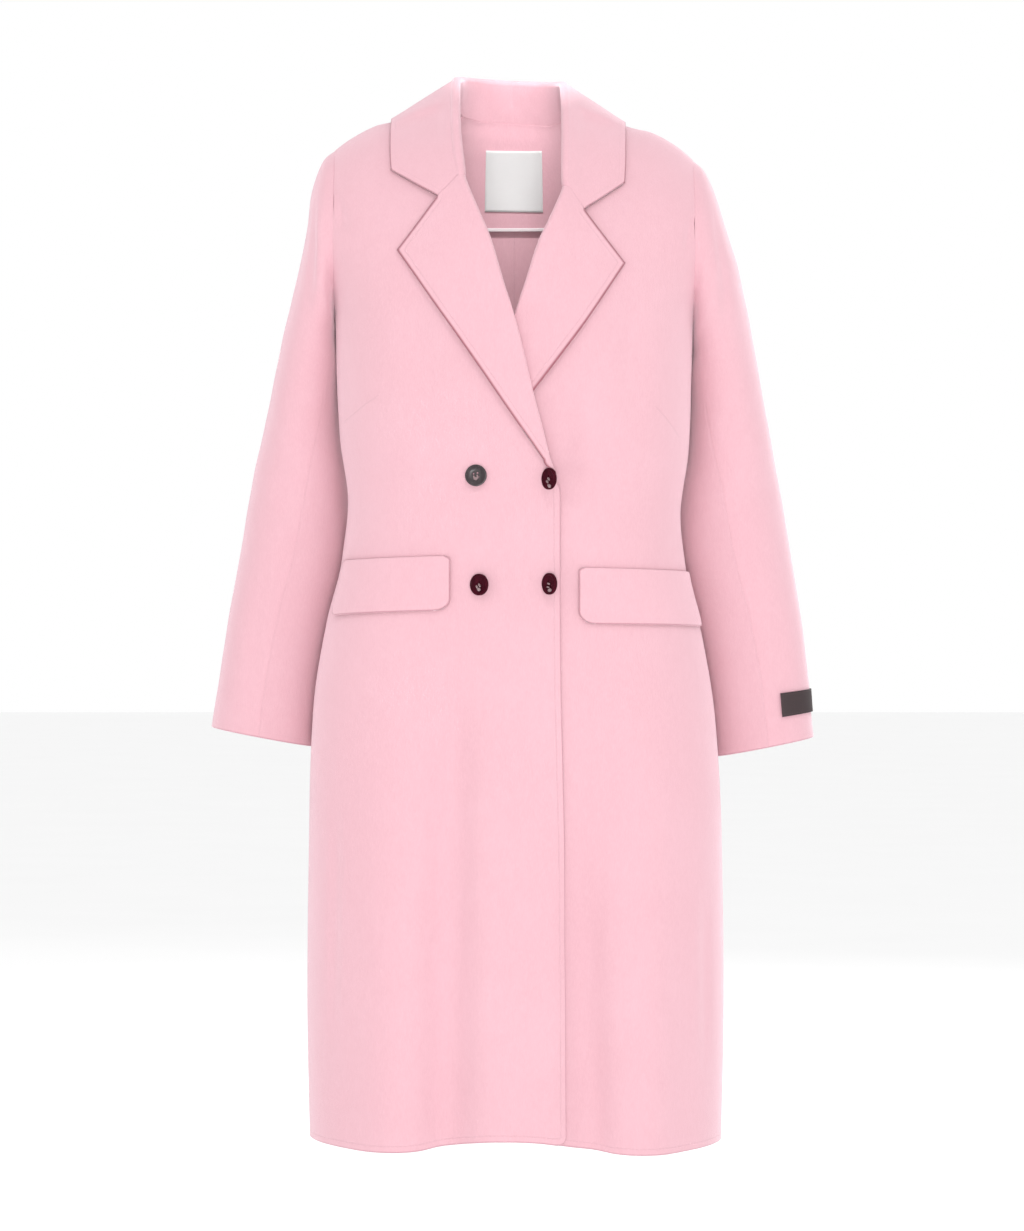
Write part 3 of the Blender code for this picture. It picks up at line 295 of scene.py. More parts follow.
LEFT_SLEEVE_FOLDS = (
    Fold(46.0, 1.2, 68.0, 3.4, 90.0, 5.8, 0.0018, 0.012, 0.40, 0.40),
    Fold(24.0, 8.8, 60.0, 9.2, 100.0, 8.9, 0.0020, 0.011, 0.45, 0.35),
    Fold(106.0, 7.4, 76.0, 7.9, 46.0, 7.7, 0.0016, 0.010, 0.35, 0.50),
    Fold(28.0, 10.3, 66.0, 10.6, 98.0, 10.2, 0.0016, 0.010, 0.45, 0.35),
    Fold(58.0, 11.4, 66.0, 13.0, 62.0, 14.6, 0.0010, 0.012, 0.40, 0.45),
    Fold(-38.0, 1.8, -50.0, 4.2, -60.0, 6.6, 0.0018, 0.012, 0.40, 0.40),
    Fold(-98.0, 8.8, -68.0, 9.3, -34.0, 9.0, 0.0018, 0.011, 0.35, 0.45),
    Fold(-90.0, 10.8, -62.0, 11.3, -38.0, 11.1, 0.0014, 0.010, 0.35, 0.45),
    Fold(4.0, 3.0, 0.0, 5.8, 6.0, 8.8, 0.0010, 0.014, 0.40, 0.40),
)
# Bust darts, each from its inner point to the side seam
Dart = namedtuple("Dart", "x0 z0 x1 z1 x2 z2")
DARTS = {
    -1: Dart(-0.1380, -0.3200, -0.1540, -0.3295, -0.1820, -0.3490),
    1: Dart(0.1460, -0.3170, 0.1590, -0.3310, 0.1740, -0.3500),
}


def smooth_step(t):
    t = np.clip(t, 0.0, 1.0)
    return t * t * (3.0 - 2.0 * t)


def bell(x, middle, width):
    return np.exp(-(((x - middle) / width) ** 2))


def waves(x, table):
    """The skirt's waves at places across the coat."""
    return sum(wave.share * bell(np.abs(x), wave.x, wave.width) for wave in table)


def between(rows, place, name):
    """A column's values at places in the first column, on a smooth curve that never overshoots."""
    first = rows[0]._fields[0]
    keys = np.array([getattr(row, first) for row in rows])
    values = np.array([getattr(row, name) for row in rows])
    place = np.clip(np.asarray(place, float), keys[0], keys[-1])
    i = np.clip(np.searchsorted(keys, place, side="right") - 1, 0, len(keys) - 2)
    step = np.diff(keys)
    rate = np.diff(values) / step
    slope = np.concatenate((rate[:1], np.zeros(len(keys) - 2), rate[-1:]))
    before, after = rate[:-1], rate[1:]
    same = before * after > 0.0
    slope[1:-1] = np.where(same, 2.0 * before * after / np.where(same, before + after, 1.0), 0.0)
    t = (place - keys[i]) / step[i]
    return (values[i] * (1 + 2 * t) * (1 - t) ** 2 + values[i + 1] * t * t * (3 - 2 * t)
            + step[i] * (slope[i] * t * (1 - t) ** 2 - slope[i + 1] * t * t * (1 - t)))


def unit(v):
    return v / np.maximum(np.linalg.norm(v, axis=-1, keepdims=True), 1e-12)


def body_form(angle, level):
    """The coat's form without its folds. Angle 0 is the wearer's left side and -90 degrees the front."""
    angle, level = np.broadcast_arrays(np.asarray(angle, float), np.asarray(level, float))
    c, s = np.cos(angle), np.sin(angle)
    full_c, full_s = c * (1 + SQUARE * s * s), s * (1 + SQUARE * c * c)
    back = s > 0
    z = ARMPIT_Z + np.minimum(level, 0.0)
    depth = np.where(back, between(BODY, z, "back_depth"), between(BODY, z, "front_depth"))
    x = between(BODY, z, "half_width") * full_c
    fold = between(BODY, z, "fold") * np.abs(s)
    y = depth * full_s + np.where(back, fold * waves(x, BACK_WAVES), fold * waves(x, FRONT_WAVES))
    z = z - smooth_step((HEM_WAVE_TOP - z) / HEM_WAVE_REACH) * between(HEM_LINE, np.abs(x), "drop")
    below = np.stack((x, y, z), axis=-1)
    rise = np.clip(level, 0.0, 1.0)
    quarter = rise * math.pi / 2
    depth = np.where(back, between(SHOULDERS, rise, "back_depth"), between(SHOULDERS, rise, "front_depth"))
    x = between(SHOULDERS, rise, "half_width") * full_c
    y = between(SHOULDERS, rise, "shift") + depth * full_s * np.cos(quarter)
    ridge = between(SHOULDER_LINE, np.abs(x), "z")
    above = np.stack((x, y, ARMPIT_Z + (ridge - ARMPIT_Z) * np.sin(quarter)), axis=-1)
    return np.where((level <= 0.0)[..., None], below, above)


def body_normal(angle, level):
    """Unit vectors out of the coat."""
    angle, level = np.broadcast_arrays(np.asarray(angle, float), np.asarray(level, float))
    high = np.minimum(level + 1e-3, 1.0)
    low = high - 2e-3
    across = body_form(angle + 1e-4, level) - body_form(angle - 1e-4, level)
    return unit(np.cross(across, body_form(angle, high) - body_form(angle, low)))


def fold_relief(u, v, folds, stretch=(1.0, 1.0)):
    """Height of the folds at places u, v; stretch turns each axis into metres."""
    relief = np.zeros(np.shape(u))
    place = np.stack((np.asarray(u) * stretch[0], np.asarray(v) * stretch[1]), axis=-1)
    for fold in folds:
        t = np.linspace(0.0, 1.0, 13)
        control = (2 * fold.x1 - (fold.x0 + fold.x2) / 2, 2 * fold.z1 - (fold.z0 + fold.z2) / 2)
        line_u = (1 - t) ** 2 * fold.x0 + 2 * t * (1 - t) * control[0] + t * t * fold.x2
        line_v = (1 - t) ** 2 * fold.z0 + 2 * t * (1 - t) * control[1] + t * t * fold.z2
        line = np.stack((line_u * stretch[0], line_v * stretch[1]), axis=-1)
        distance, along, _ = line_distance(place, line)
        ends = np.ones(np.shape(u))
        if fold.fade0 > 0:
            ends = ends * smooth_step(along / fold.fade0)
        if fold.fade2 > 0:
            ends = ends * smooth_step((1.0 - along) / fold.fade2)
        relief -= fold.depth * np.exp(-((distance / fold.width) ** 2)) * ends
    return relief


def line_distance(place, line):
    """Distance from places to a line of points, the share of the line at the nearest point, and the side."""
    best = np.full(place.shape[:-1], 1e9)
    along, side = np.zeros(best.shape), np.ones(best.shape)
    lengths = np.linalg.norm(np.diff(line, axis=0), axis=1)
    starts = np.concatenate(([0.0], np.cumsum(lengths)))
    for k, length in enumerate(lengths):
        if length < 1e-9:
            continue
        step = line[k + 1] - line[k]
        t = np.clip(((place - line[k]) @ step) / length ** 2, 0.0, 1.0)
        away = place - line[k] - t[..., None] * step
        distance = np.linalg.norm(away, axis=-1)
        near = distance < best
        best = np.where(near, distance, best)
        along = np.where(near, starts[k] + t * length, along)
        if place.shape[-1] == 2:
            side = np.where(near, np.sign(step[0] * away[..., 1] - step[1] * away[..., 0]), side)
    return best, along / starts[-1], side


def drape(point):
    """The slow unevenness that hanging wool has everywhere, between about -2 and 2."""
    x, y, z = point[..., 0], point[..., 1], point[..., 2]
    return (np.sin(31.0 * x + 9.0 * z + 0.7) * np.sin(17.0 * z + 23.0 * y + 1.9)
            + 0.6 * np.sin(47.0 * x - 13.0 * z + 2.3 + 11.0 * y) * np.sin(29.0 * z + 0.4)
            + 0.4 * np.sin(71.0 * x + 37.0 * z + 0.2) * np.sin(53.0 * y - 41.0 * z + 1.1))


def coat_point(angle, level):
    """The coat's outer surface with its folds, and the direction out of it."""
    point, out = body_form(angle, level), body_normal(angle, level)
    strength = bpy.context.scene.coat_sizes.fold_strength
    front = fold_relief(point[..., 0], point[..., 2], FRONT_FOLDS)
    back = fold_relief(point[..., 0], point[..., 2], BACK_FOLDS)
    behind = smooth_step(point[..., 1] / 0.05 + 0.5)
    calm = smooth_step((0.215 - np.abs(point[..., 0])) / 0.02) * (1.0 - smooth_step((point[..., 2] + 0.10) / 0.08))
    relief = (front * (1 - behind) + back * behind) * strength + BODY_DRAPE * drape(point) * calm
    return point + out * relief[..., None], out


def width_at(level):
    """Half the body's width at a level."""
    return np.where(level <= 0.0, between(BODY, ARMPIT_Z + np.minimum(level, 0.0), "half_width"),
                    between(SHOULDERS, np.maximum(level, 0.0), "half_width"))


def angle_at(x, level, front=True):
    """The angle at which a level of the body reaches this x."""
    x, level = np.broadcast_arrays(np.asarray(x, float), np.asarray(level, float))
    share = np.minimum(1.0, np.abs(x) / width_at(level))
    low, high = np.zeros(share.shape), np.ones(share.shape)
    for _ in range(40):
        c = (low + high) / 2
        short = c * (1 + SQUARE) - SQUARE * c ** 3 < share
        low, high = np.where(short, c, low), np.where(short, high, c)
    angle = np.arccos(np.copysign((low + high) / 2, x))
    return -angle if front else angle


def place_at(x, z, front=True):
    """Angle and level of the points of the front or back with this x and z."""
    x, z = np.broadcast_arrays(np.asarray(x, float), np.asarray(z, float))
    ridge = between(SHOULDER_LINE, np.abs(x), "z")
    rise = np.arcsin(np.clip((z - ARMPIT_Z) / (ridge - ARMPIT_Z), 0.0, 1.0)) / (math.pi / 2)
    level = np.where(z <= ARMPIT_Z, z - ARMPIT_Z, rise)
    return angle_at(x, level, front), level


def front_edge_x(z):
    return between(FRONT_EDGE, z, "x")


def lean_at(x):
    """How much of the coat's drop to the wearer's left a place takes, from -1 to 1."""
    return np.sin(math.pi / 2 * np.clip(x / LEAN_WIDTH, -1.0, 1.0))


def settle(point):
    """The same points in the coat as it hangs."""
    moved = point.copy()
    moved[..., 0] += between(HANG, point[..., 2], "sway")
    moved[..., 2] -= between(HANG, point[..., 2], "drop") * lean_at(point[..., 0])
    return moved


def layer(side, point):
    """How far a front's outer face stands off the body surface; the left front is the under one."""
    if side < 0:
        return np.zeros(point.shape[:-1])
    past = point[..., 0] - front_edge_x(point[..., 2]) - 0.005
    return -between(UNDER_FRONT, point[..., 2], "depth") * (1.0 - smooth_step(past / UNDER_WIDTH))


def on_front(side, x, z, lift):
    """Points of the front at x and z, moved out by a lift, and the outward directions there."""
    angle, level = place_at(x, z)
    point, out = coat_point(angle, level)
    return point + out * (lift + layer(side, point))[..., None], out


def edge_angle(side, level):
    """Angle at which each row of a front meets its inner edge."""
    level = np.asarray(level, float)
    low, high = np.full(level.shape, -ARMHOLE_X), np.full(level.shape, 0.06)
    for _ in range(40):
        middle = (low + high) / 2
        past = middle - front_edge_x(body_form(angle_at(middle, level), level)[..., 2])
        low, high = np.where(past < 0, middle, low), np.where(past < 0, high, middle)
    return angle_at(-side * low, level)


def side_angle(side, level, front=True):
    """Angle of the side seam, or of the armhole above the armpit."""
    level = np.asarray(level, float)
    away = SEAM_GAP / 2 / between(BODY, ARMPIT_Z + np.minimum(level, 0.0), "front_depth")
    base = 0.0 if side > 0 else -math.pi
    if front:
        seam = base - away if side > 0 else base + away
    else:
        seam = -base + away if side > 0 else -base - away
    return np.where(level <= 0.0, seam, angle_at(side * ARMHOLE_X, level, front))


def grid_faces(rows, columns, start=0):
    """Quads of a grid whose points are numbered row by row."""
    r, c = np.meshgrid(np.arange(rows - 1), np.arange(columns - 1), indexing="ij")
    first = (start + r * columns + c).reshape(-1)
    return np.stack((first, first + 1, first + columns + 1, first + columns), axis=1)


def vertex_normals(points, faces):
    """Normals of a mesh of quads; a triangle repeats its last corner."""
    a, b, c, d = (points[faces[:, k]] for k in range(4))
    turn = np.cross(c - a, d - b)
    total = np.zeros_like(points)
    for k in range(4):
        np.add.at(total, faces[:, k], turn)
    return unit(total)


def grid_uv(points, columns):
    """Cloth coordinates in metres from the distances along rows and columns of a grid."""
    grid = points.reshape(-1, columns, 3)
    u = np.zeros(grid.shape[:2])
    v = np.zeros(grid.shape[:2])
    u[:, 1:] = np.cumsum(np.linalg.norm(np.diff(grid, axis=1), axis=-1), axis=1)
    v[1:] = np.cumsum(np.linalg.norm(np.diff(grid, axis=0), axis=-1), axis=0)
    return np.stack((u - u[:, -1:], v), axis=-1).reshape(-1, 2)


def turned_out(points, faces, out):
    """The faces, turned over if they point against the outward directions."""
    if np.sum(vertex_normals(points, faces) * out.reshape(-1, 3)) < 0:
        return faces[:, ::-1].copy()
    return faces


def boundary_of(faces):
    """Directed edges with a face on one side only."""
    sides = {}
    for face in faces.tolist():
        ring = face if face[2] != face[3] else face[:3]
        for a, b in zip(ring, ring[1:] + ring[:1]):
            if (b, a) in sides:
                del sides[(b, a)]
            else:
                sides[(a, b)] = True
    return list(sides)


def cloth_shell(name, outer, inner, faces, seam, uv, finish, extra=None, part=None):
    """A closed wall of cloth. Edges between two seam points are sewn and dip; the others are free and round.
    Near the armholes and the neck a seam lies level and leaves no line."""
    sizes = bpy.context.scene.coat_sizes
    rim = boundary_of(faces)
    sewn = np.zeros(len(outer), bool)
    sewn[np.asarray(sorted(seam), int)] = True
    out = unit(outer - inner)
    thick = np.linalg.norm(outer - inner, axis=1)
    away = np.zeros_like(outer)
    lines = {True: [], False: []}
    for a, b in rim:
        kind = bool(sewn[a] and sewn[b])
        lines[kind].append((a, b))
        if not kind:
            push = np.cross(outer[b] - outer[a], out[a])
            away[a] += push
            away[b] += push
    part = np.zeros(len(outer), int) if part is None else part
    fields = {kind: edge_field(outer, pairs, part) for kind, pairs in lines.items()}
    x = np.abs(outer[:, 0])
    plain = (np.abs(x - ARMHOLE_X) < PLAIN_ARMHOLE) | ((outer[:, 2] > PLAIN_NECK_Z) & (x < PLAIN_NECK_X))
    seam_distance = np.where(plain, 1.0, fields[True][0])
    dip = sizes.seam_dip * np.exp(-((seam_distance / SEAM_WIDTH) ** 2))
    free = np.linalg.norm(away, axis=1) > 0
    pull = unit(away) * (sizes.edge_roundness * thick)[:, None] * free[:, None]
    middle = (outer + inner) / 2
    top = outer - out * dip[:, None] - pull
    low = inner - pull
    ring = sorted({i for pair in rim for i in pair})
    spot = {i: 2 * len(outer) + k for k, i in enumerate(ring)}
    count = len(outer)
    points = settle(np.concatenate((top, low, middle[ring])))
    every = [tuple(face) if face[2] != face[3] else tuple(face[:3]) for face in faces.tolist()]
    polygons = every + [tuple(i + count for i in reversed(face)) for face in every]
    for a, b in rim:
        polygons.append((b, a, spot[a], spot[b]))
        polygons.append((spot[b], spot[a], a + count, b + count))
    mesh = bpy.data.meshes.new(name)
    mesh.from_pydata(points.tolist(), [], polygons)
    order = np.concatenate((np.arange(count), np.arange(count), ring)).astype(int)
    values = {"edge": fields[False][0], "along": fields[False][1], "seam": seam_distance}
    if extra:
        values.update(extra)
    for key, value in values.items():
        attribute = mesh.attributes.new(key, "FLOAT", "POINT")
        attribute.data.foreach_set("value", value[order].astype(np.float32))
    corners = np.empty(len(mesh.loops), np.int32)
    mesh.loops.foreach_get("vertex_index", corners)
    mesh.uv_layers.new(name="cloth").data.foreach_set("uv", uv[order][corners].astype(np.float32).reshape(-1))
    mesh.polygons.foreach_set("use_smooth", np.ones(len(mesh.polygons), bool))
    ends = np.empty(2 * len(mesh.edges), np.int32)
    mesh.edges.foreach_get("vertices", ends)
    ends = np.sort(ends.reshape(-1, 2), axis=1)
    sewn_pairs = np.sort(np.array(lines[True] or [(0, 0)]), axis=1)
    sewn_pairs = np.concatenate((sewn_pairs, sewn_pairs + count))
    sharp = np.isin(ends[:, 0] * len(points) + ends[:, 1], sewn_pairs[:, 0] * len(points) + sewn_pairs[:, 1])
    mesh.attributes.new("sharp_edge", "BOOLEAN", "EDGE").data.foreach_set("value", sharp)
    mesh.materials.append(finish)
    mesh.update()
    made = bpy.data.objects.new(name, mesh)
    bpy.context.scene.collection.objects.link(made)
    return made


def edge_field(points, pairs, part):
    """Distance to the nearest of a set of edges of the same part, and a running length along them."""
    nearest = np.full(len(points), 1.0)
    along = np.zeros(len(points))
    for number in np.unique(part):
        own_pairs = [(a, b) for a, b in pairs if max(part[a], part[b]) == number]
        if not own_pairs:
            continue
        follow = dict(own_pairs)
        heads = set(follow) - set(follow.values())
        begin, end, seen = [], [], set()
        for start in sorted(heads) + sorted(follow):
            while start in follow and start not in seen:
                seen.add(start)
                begin.append(start)
                end.append(follow[start])
                start = follow[start]
        begin, end = points[begin], points[end]
        length = np.linalg.norm(end - begin, axis=1)
        run = np.concatenate(([0.0], np.cumsum(length)))[:-1]
        tree = KDTree(len(begin))
        for k, spot in enumerate((begin + end) / 2):
            tree.insert(spot, k)
        tree.balance()
        for i in np.nonzero(part == number)[0]:
            spot = points[i]
            for _, k, _ in tree.find_n(spot, 3):
                step = end[k] - begin[k]
                t = min(1.0, max(0.0, float((spot - begin[k]) @ step) / max(length[k] ** 2, 1e-12)))
                distance = float(np.linalg.norm(spot - begin[k] - t * step))
                if distance < nearest[i]:
                    nearest[i], along[i] = distance, run[k] + t * length[k]
    return nearest, along


def own(piece, node):
    """Puts a piece in place of its solid, which it hides, and attaches it to the root body."""
    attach(piece, "root")
    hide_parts(node)


def spread(count, near=0.0035):
    """Shares across a panel, closer together at both seams."""
    inner = np.linspace(near * 5, 1.0 - near * 5, count)
    return np.concatenate(([0.0, near, near * 2.6], inner, [1.0 - near * 2.6, 1.0 - near, 1.0]))


def panel_levels():
    """Levels of the rows of the fronts and backs from the hem up, and the row of the gorge."""
    low = [HEM_ROW + step for step in (0.0, 0.0010, 0.0024, 0.0042, 0.0066, 0.0095)]
    spans = ((HEM_ROW + 0.013, BREAK_Z, 0.0056), (BREAK_Z, TURN_Z, 0.0033), (TURN_Z, -0.372, 0.0013),
             (-0.372, ARMPIT_Z, 0.0046))
    for start, end, step in spans:
        count = max(1, round((end - start) / step))
        low += [start + (end - start) * k / count for k in range(count)]
    gorge = float(place_at(front_edge_x(GORGE_Z), GORGE_Z)[1])
    rises = np.concatenate((np.linspace(0.0, gorge, 25), np.linspace(gorge, 0.955, 30)[1:],
                            [0.967, 0.979, 0.989, 0.996, 1.0]))
    levels = np.concatenate((np.array(low) - ARMPIT_Z, rises))
    return levels, len(low) + 24


def lapel_outline(side, share, top):
    """x and z of the lapel: share runs from the fold to the outer edge, top from break to gorge."""
    fold_z = LAPEL_BASE + (GORGE_Z - LAPEL_BASE) * top
    fold = np.stack((side * -front_edge_x(fold_z), fold_z), axis=-1)
    tip = np.array((side * TIP[0] - LAPEL_SHIFT, TIP[1]))
    notch = np.array((side * NOTCH[0] - LAPEL_SHIFT, NOTCH[1]))
    gorge = np.array((side * -front_edge_x(GORGE_Z), GORGE_Z))
    low = np.array((side * LAPEL_FOOT[0], LAPEL_FOOT[1]))
    outer = low + (tip - low) * top[..., None]
    outer[..., 0] += side * LAPEL_CURVE * np.sin(math.pi * top)
    share = share[..., None]
    straight = fold + (outer - fold) * share
    bent = np.where(share <= NOTCH_SHARE, gorge + (notch - gorge) * share / NOTCH_SHARE,
                    notch + (tip - notch) * (share - NOTCH_SHARE) / TIP_SHARE)
    return straight + (bent - (gorge + (tip - gorge) * share)) * top[..., None] ** 3


def lapel_row(side, fold, push, along):
    """One row of the lapel from the fold to its outer edge: points of the face that is outside below the
    break, and the outward directions of that face."""
    columns = bpy.context.scene.coat_sizes.lapel_columns
    flat = np.linspace(0.0, 1.0, columns)[1:]
    height = float(between(LAPEL_ROLL, fold[2], "height"))
    across = unit(np.cross(push, along))
    if across[0] * side > 0:
        across = -across
    whole = math.pi * (0.05 + 0.95 * float(smooth_step((fold[2] - TURN_Z) / 0.015)))
    bends = whole * np.arange(1, ARC_STEPS + 1)[:, None] / ARC_STEPS
    ring = fold + (across * np.sin(bends) + push * (1 - np.cos(bends))) * height / 2
    out = push * np.cos(bends) - across * np.sin(bends)
    width = TONGUE_WIDTH + TONGUE_SPREAD * min(1.0, max(0.0, (fold[2] - TONGUE_Z) / TONGUE_REACH))
    strip = ring[-1] + (across * math.cos(whole) + push * math.sin(whole)) * width * flat[:, None]
    turned = np.repeat(out[-1:], len(flat), 0)
    top = (fold[2] - LAPEL_BASE) / (GORGE_Z - LAPEL_BASE)
    if top > 0.0:
        spot = lapel_outline(side, flat, np.full(len(flat), top))
        stand_off = LAPEL_LIFT * flat ** 2 * math.sin(math.pi * top)
        lift = LAYER_GAP + (height - LAYER_GAP) * (1.0 - flat) ** 2 + stand_off
        laid, direction = on_front(side, spot[:, 0], spot[:, 1], lift)
        weight = smooth_step(top / 0.03)
        strip = strip + (laid - strip) * weight
        turned = unit(turned - (direction + turned) * weight)
    return np.concatenate((ring, strip)), np.concatenate((out, turned))


def make_front(name, side):
    """A front and its lapel as one sheet that turns over at the fold."""
    sizes = bpy.context.scene.coat_sizes
    levels, gorge_row = panel_levels()
    shares = spread(sizes.front_columns)
    start, end = side_angle(side, levels), edge_angle(side, levels)
    z = ARMPIT_Z + np.minimum(levels, 0.0)
    up = np.clip(z - HEM_ROW, 0.0, HEM_CORNER)
    inset = HEM_CORNER - np.sqrt(np.maximum(HEM_CORNER ** 2 - (HEM_CORNER - up) ** 2, 0.0))
    inset = np.where(levels < 0, inset, 0.0)
    end = end + np.sign(start - end) * inset / between(BODY, z, "half_width")
    angle = start[:, None] + (end - start)[:, None] * shares[None]
    panel, out = coat_point(angle, np.repeat(levels[:, None], len(shares), 1))
    panel = panel + out * layer(side, panel)[..., None]
    rows, columns = panel.shape[:2]
    points = [panel.reshape(-1, 3)]
    faces = [grid_faces(rows, columns)]
    first = int(np.argmin(np.abs(z - TURN_Z))) + 1
    strips, offset = [], rows * columns
    for r in range(first, gorge_row + 1):
        row, _ = lapel_row(side, panel[r, -1], out[r, -1], panel[r + 1, -1] - panel[r - 1, -1])
        points.append(row)
        strips.append([r * columns + columns - 1] + list(range(offset, offset + len(row))))
        offset += len(row)
    strips = np.array(strips)
    quads = np.stack((strips[:-1, :-1], strips[:-1, 1:], strips[1:, 1:], strips[1:, :-1]), axis=-1)
    faces.append(quads.reshape(-1, 4))
    corner = (first - 1) * columns + columns - 1
    fan = [(corner, strips[0][k + 1], strips[0][k], strips[0][k]) for k in range(len(strips[0]) - 1)]
    faces.append(np.array(fan))
    points, faces = np.concatenate(points), np.concatenate(faces)
    if np.sum(vertex_normals(points, faces)[:rows * columns] * out.reshape(-1, 3)) < 0:
        faces = faces[:, ::-1].copy()
        triangle = faces[:, 0] == faces[:, 1]
        faces[triangle] = faces[triangle][:, [1, 2, 3, 3]]
    normal = vertex_normals(points, faces)
    inner = points - normal * sizes.cloth
    seam = {r * columns for r in range(rows)} | {(rows - 1) * columns + c for c in range(columns)}
    seam |= {r * columns + columns - 1 for r in range(gorge_row, rows)}
    flat = np.linspace(0.0, 1.0, sizes.lapel_columns)
    notch = ARC_STEPS + int(np.argmin(np.abs(flat - NOTCH_SHARE)))
    seam |= set(strips[-1][:notch + 1].tolist())
    uv = np.zeros((len(points), 2))
    uv[:rows * columns] = grid_uv(panel, columns)
    for strip in strips:
        line = points[strip]
        run = np.concatenate(([0.0], np.cumsum(np.linalg.norm(np.diff(line, axis=0), axis=1))))
        uv[strip, 0], uv[strip, 1] = run, uv[strip[0], 1]
    dart = DARTS[side]
    line = np.array(((dart.x0, dart.z0), (dart.x1, dart.z1), (dart.x2, dart.z2)))
    gap, share, hand = line_distance(points[:, [0, 2]], line)
    on_panel = np.arange(len(points)) < rows * columns
    tuck = np.where(on_panel & (share > 0.0) & (share < 1.0), gap * hand, 1.0)
    extra = {"dart": tuck, "dart_along": share, "turned": 1.0 - on_panel}
    piece = cloth_shell("wool_" + name, points, inner, faces, seam, uv, wool_finish(name), extra, 1 - on_panel)
    own(piece, name)
    return piece


def back_neck_angle(side, level):
    """Angle at which a back row ends: the centre seam, or the neck seam above it."""
    level = np.asarray(level, float)
    centre = math.pi / 2 - side * SEAM_GAP / 2 / width_at(level)
    x = between(NECK_SEAM, np.clip(level, NECK_LEVEL, 1.0), "x")
    return np.where(level <= NECK_LEVEL, centre, angle_at(side * np.maximum(x, SEAM_GAP / 2), level, front=False))


def make_back(name, side):
    """Half of the back, from the side seam to the centre seam."""
    sizes = bpy.context.scene.coat_sizes
    levels, _ = panel_levels()
    near = (0.0, 0.0003, 0.001, 0.002, 0.0035, 0.0055, 0.008, 0.011, 0.015, 0.020, 0.026, 0.033, 0.041, 0.050)
    levels = np.sort(np.append(levels, [NECK_LEVEL + step for step in near]))
    shares = spread(sizes.back_columns, 0.005)
    start, end = side_angle(side, levels, front=False), back_neck_angle(side, levels)
    angle = start[:, None] + (end - start)[:, None] * shares[None]
    points, out = coat_point(angle, np.repeat(levels[:, None], len(shares), 1))
    points[-1, :, 1] += SEAM_GAP
    rows, columns = points.shape[:2]
    points = points.reshape(-1, 3)
    faces = turned_out(points, grid_faces(rows, columns), out)
    inner = points - vertex_normals(points, faces) * sizes.cloth
    seam = set(range(columns, rows * columns)) | {0, columns - 1}
    piece = cloth_shell("wool_" + name, points, inner, faces, seam, grid_uv(points, columns), wool_finish(name))
    own(piece, name)
    return piece


def sleeve_form(side, phi, step):
    """A sleeve's form without folds: phi is 0 at the outermost line and 90 degrees at the front."""
    phi, step = np.broadcast_arrays(np.asarray(phi, float), np.asarray(step, float))
    ring = {name: between(SLEEVE, step, name) for name in Ring._fields[1:8]}
    outermost = np.stack((side * ring["out_x"] + ring["sway"], ring["mid_y"], ring["out_z"]), axis=-1)
    innermost = np.stack((side * ring["in_x"], ring["mid_y"], ring["in_z"]), axis=-1)
    middle, half = (outermost + innermost) / 2, (outermost - innermost) / 2
    c, s = np.cos(phi), np.sin(phi)
    point = middle + half * (c * (1 + 0.06 * s * s))[..., None]
    point[..., 1] -= ring["half_y"] * s * (1 + 0.06 * c * c)
    near = np.maximum(0.0, 1.0 - step / 3.0)
    rise = np.maximum(np.arcsin(np.clip((1 + c) / 2, 0.0, 1.0)) / (math.pi / 2), 1e-6)
    front = body_form(angle_at(side * ARMHOLE_X, rise, True), rise)
    behind = body_form(angle_at(side * ARMHOLE_X, rise, False), rise)
    hole = np.where((s >= 0)[..., None], front, behind)
    hole[..., 0] = side * (ARMHOLE_X + SEAM_GAP)
    point[..., 1] += (hole[..., 1] - point[..., 1]) * near ** 1.5
    return np.where((step <= 0.0)[..., None], hole, point)


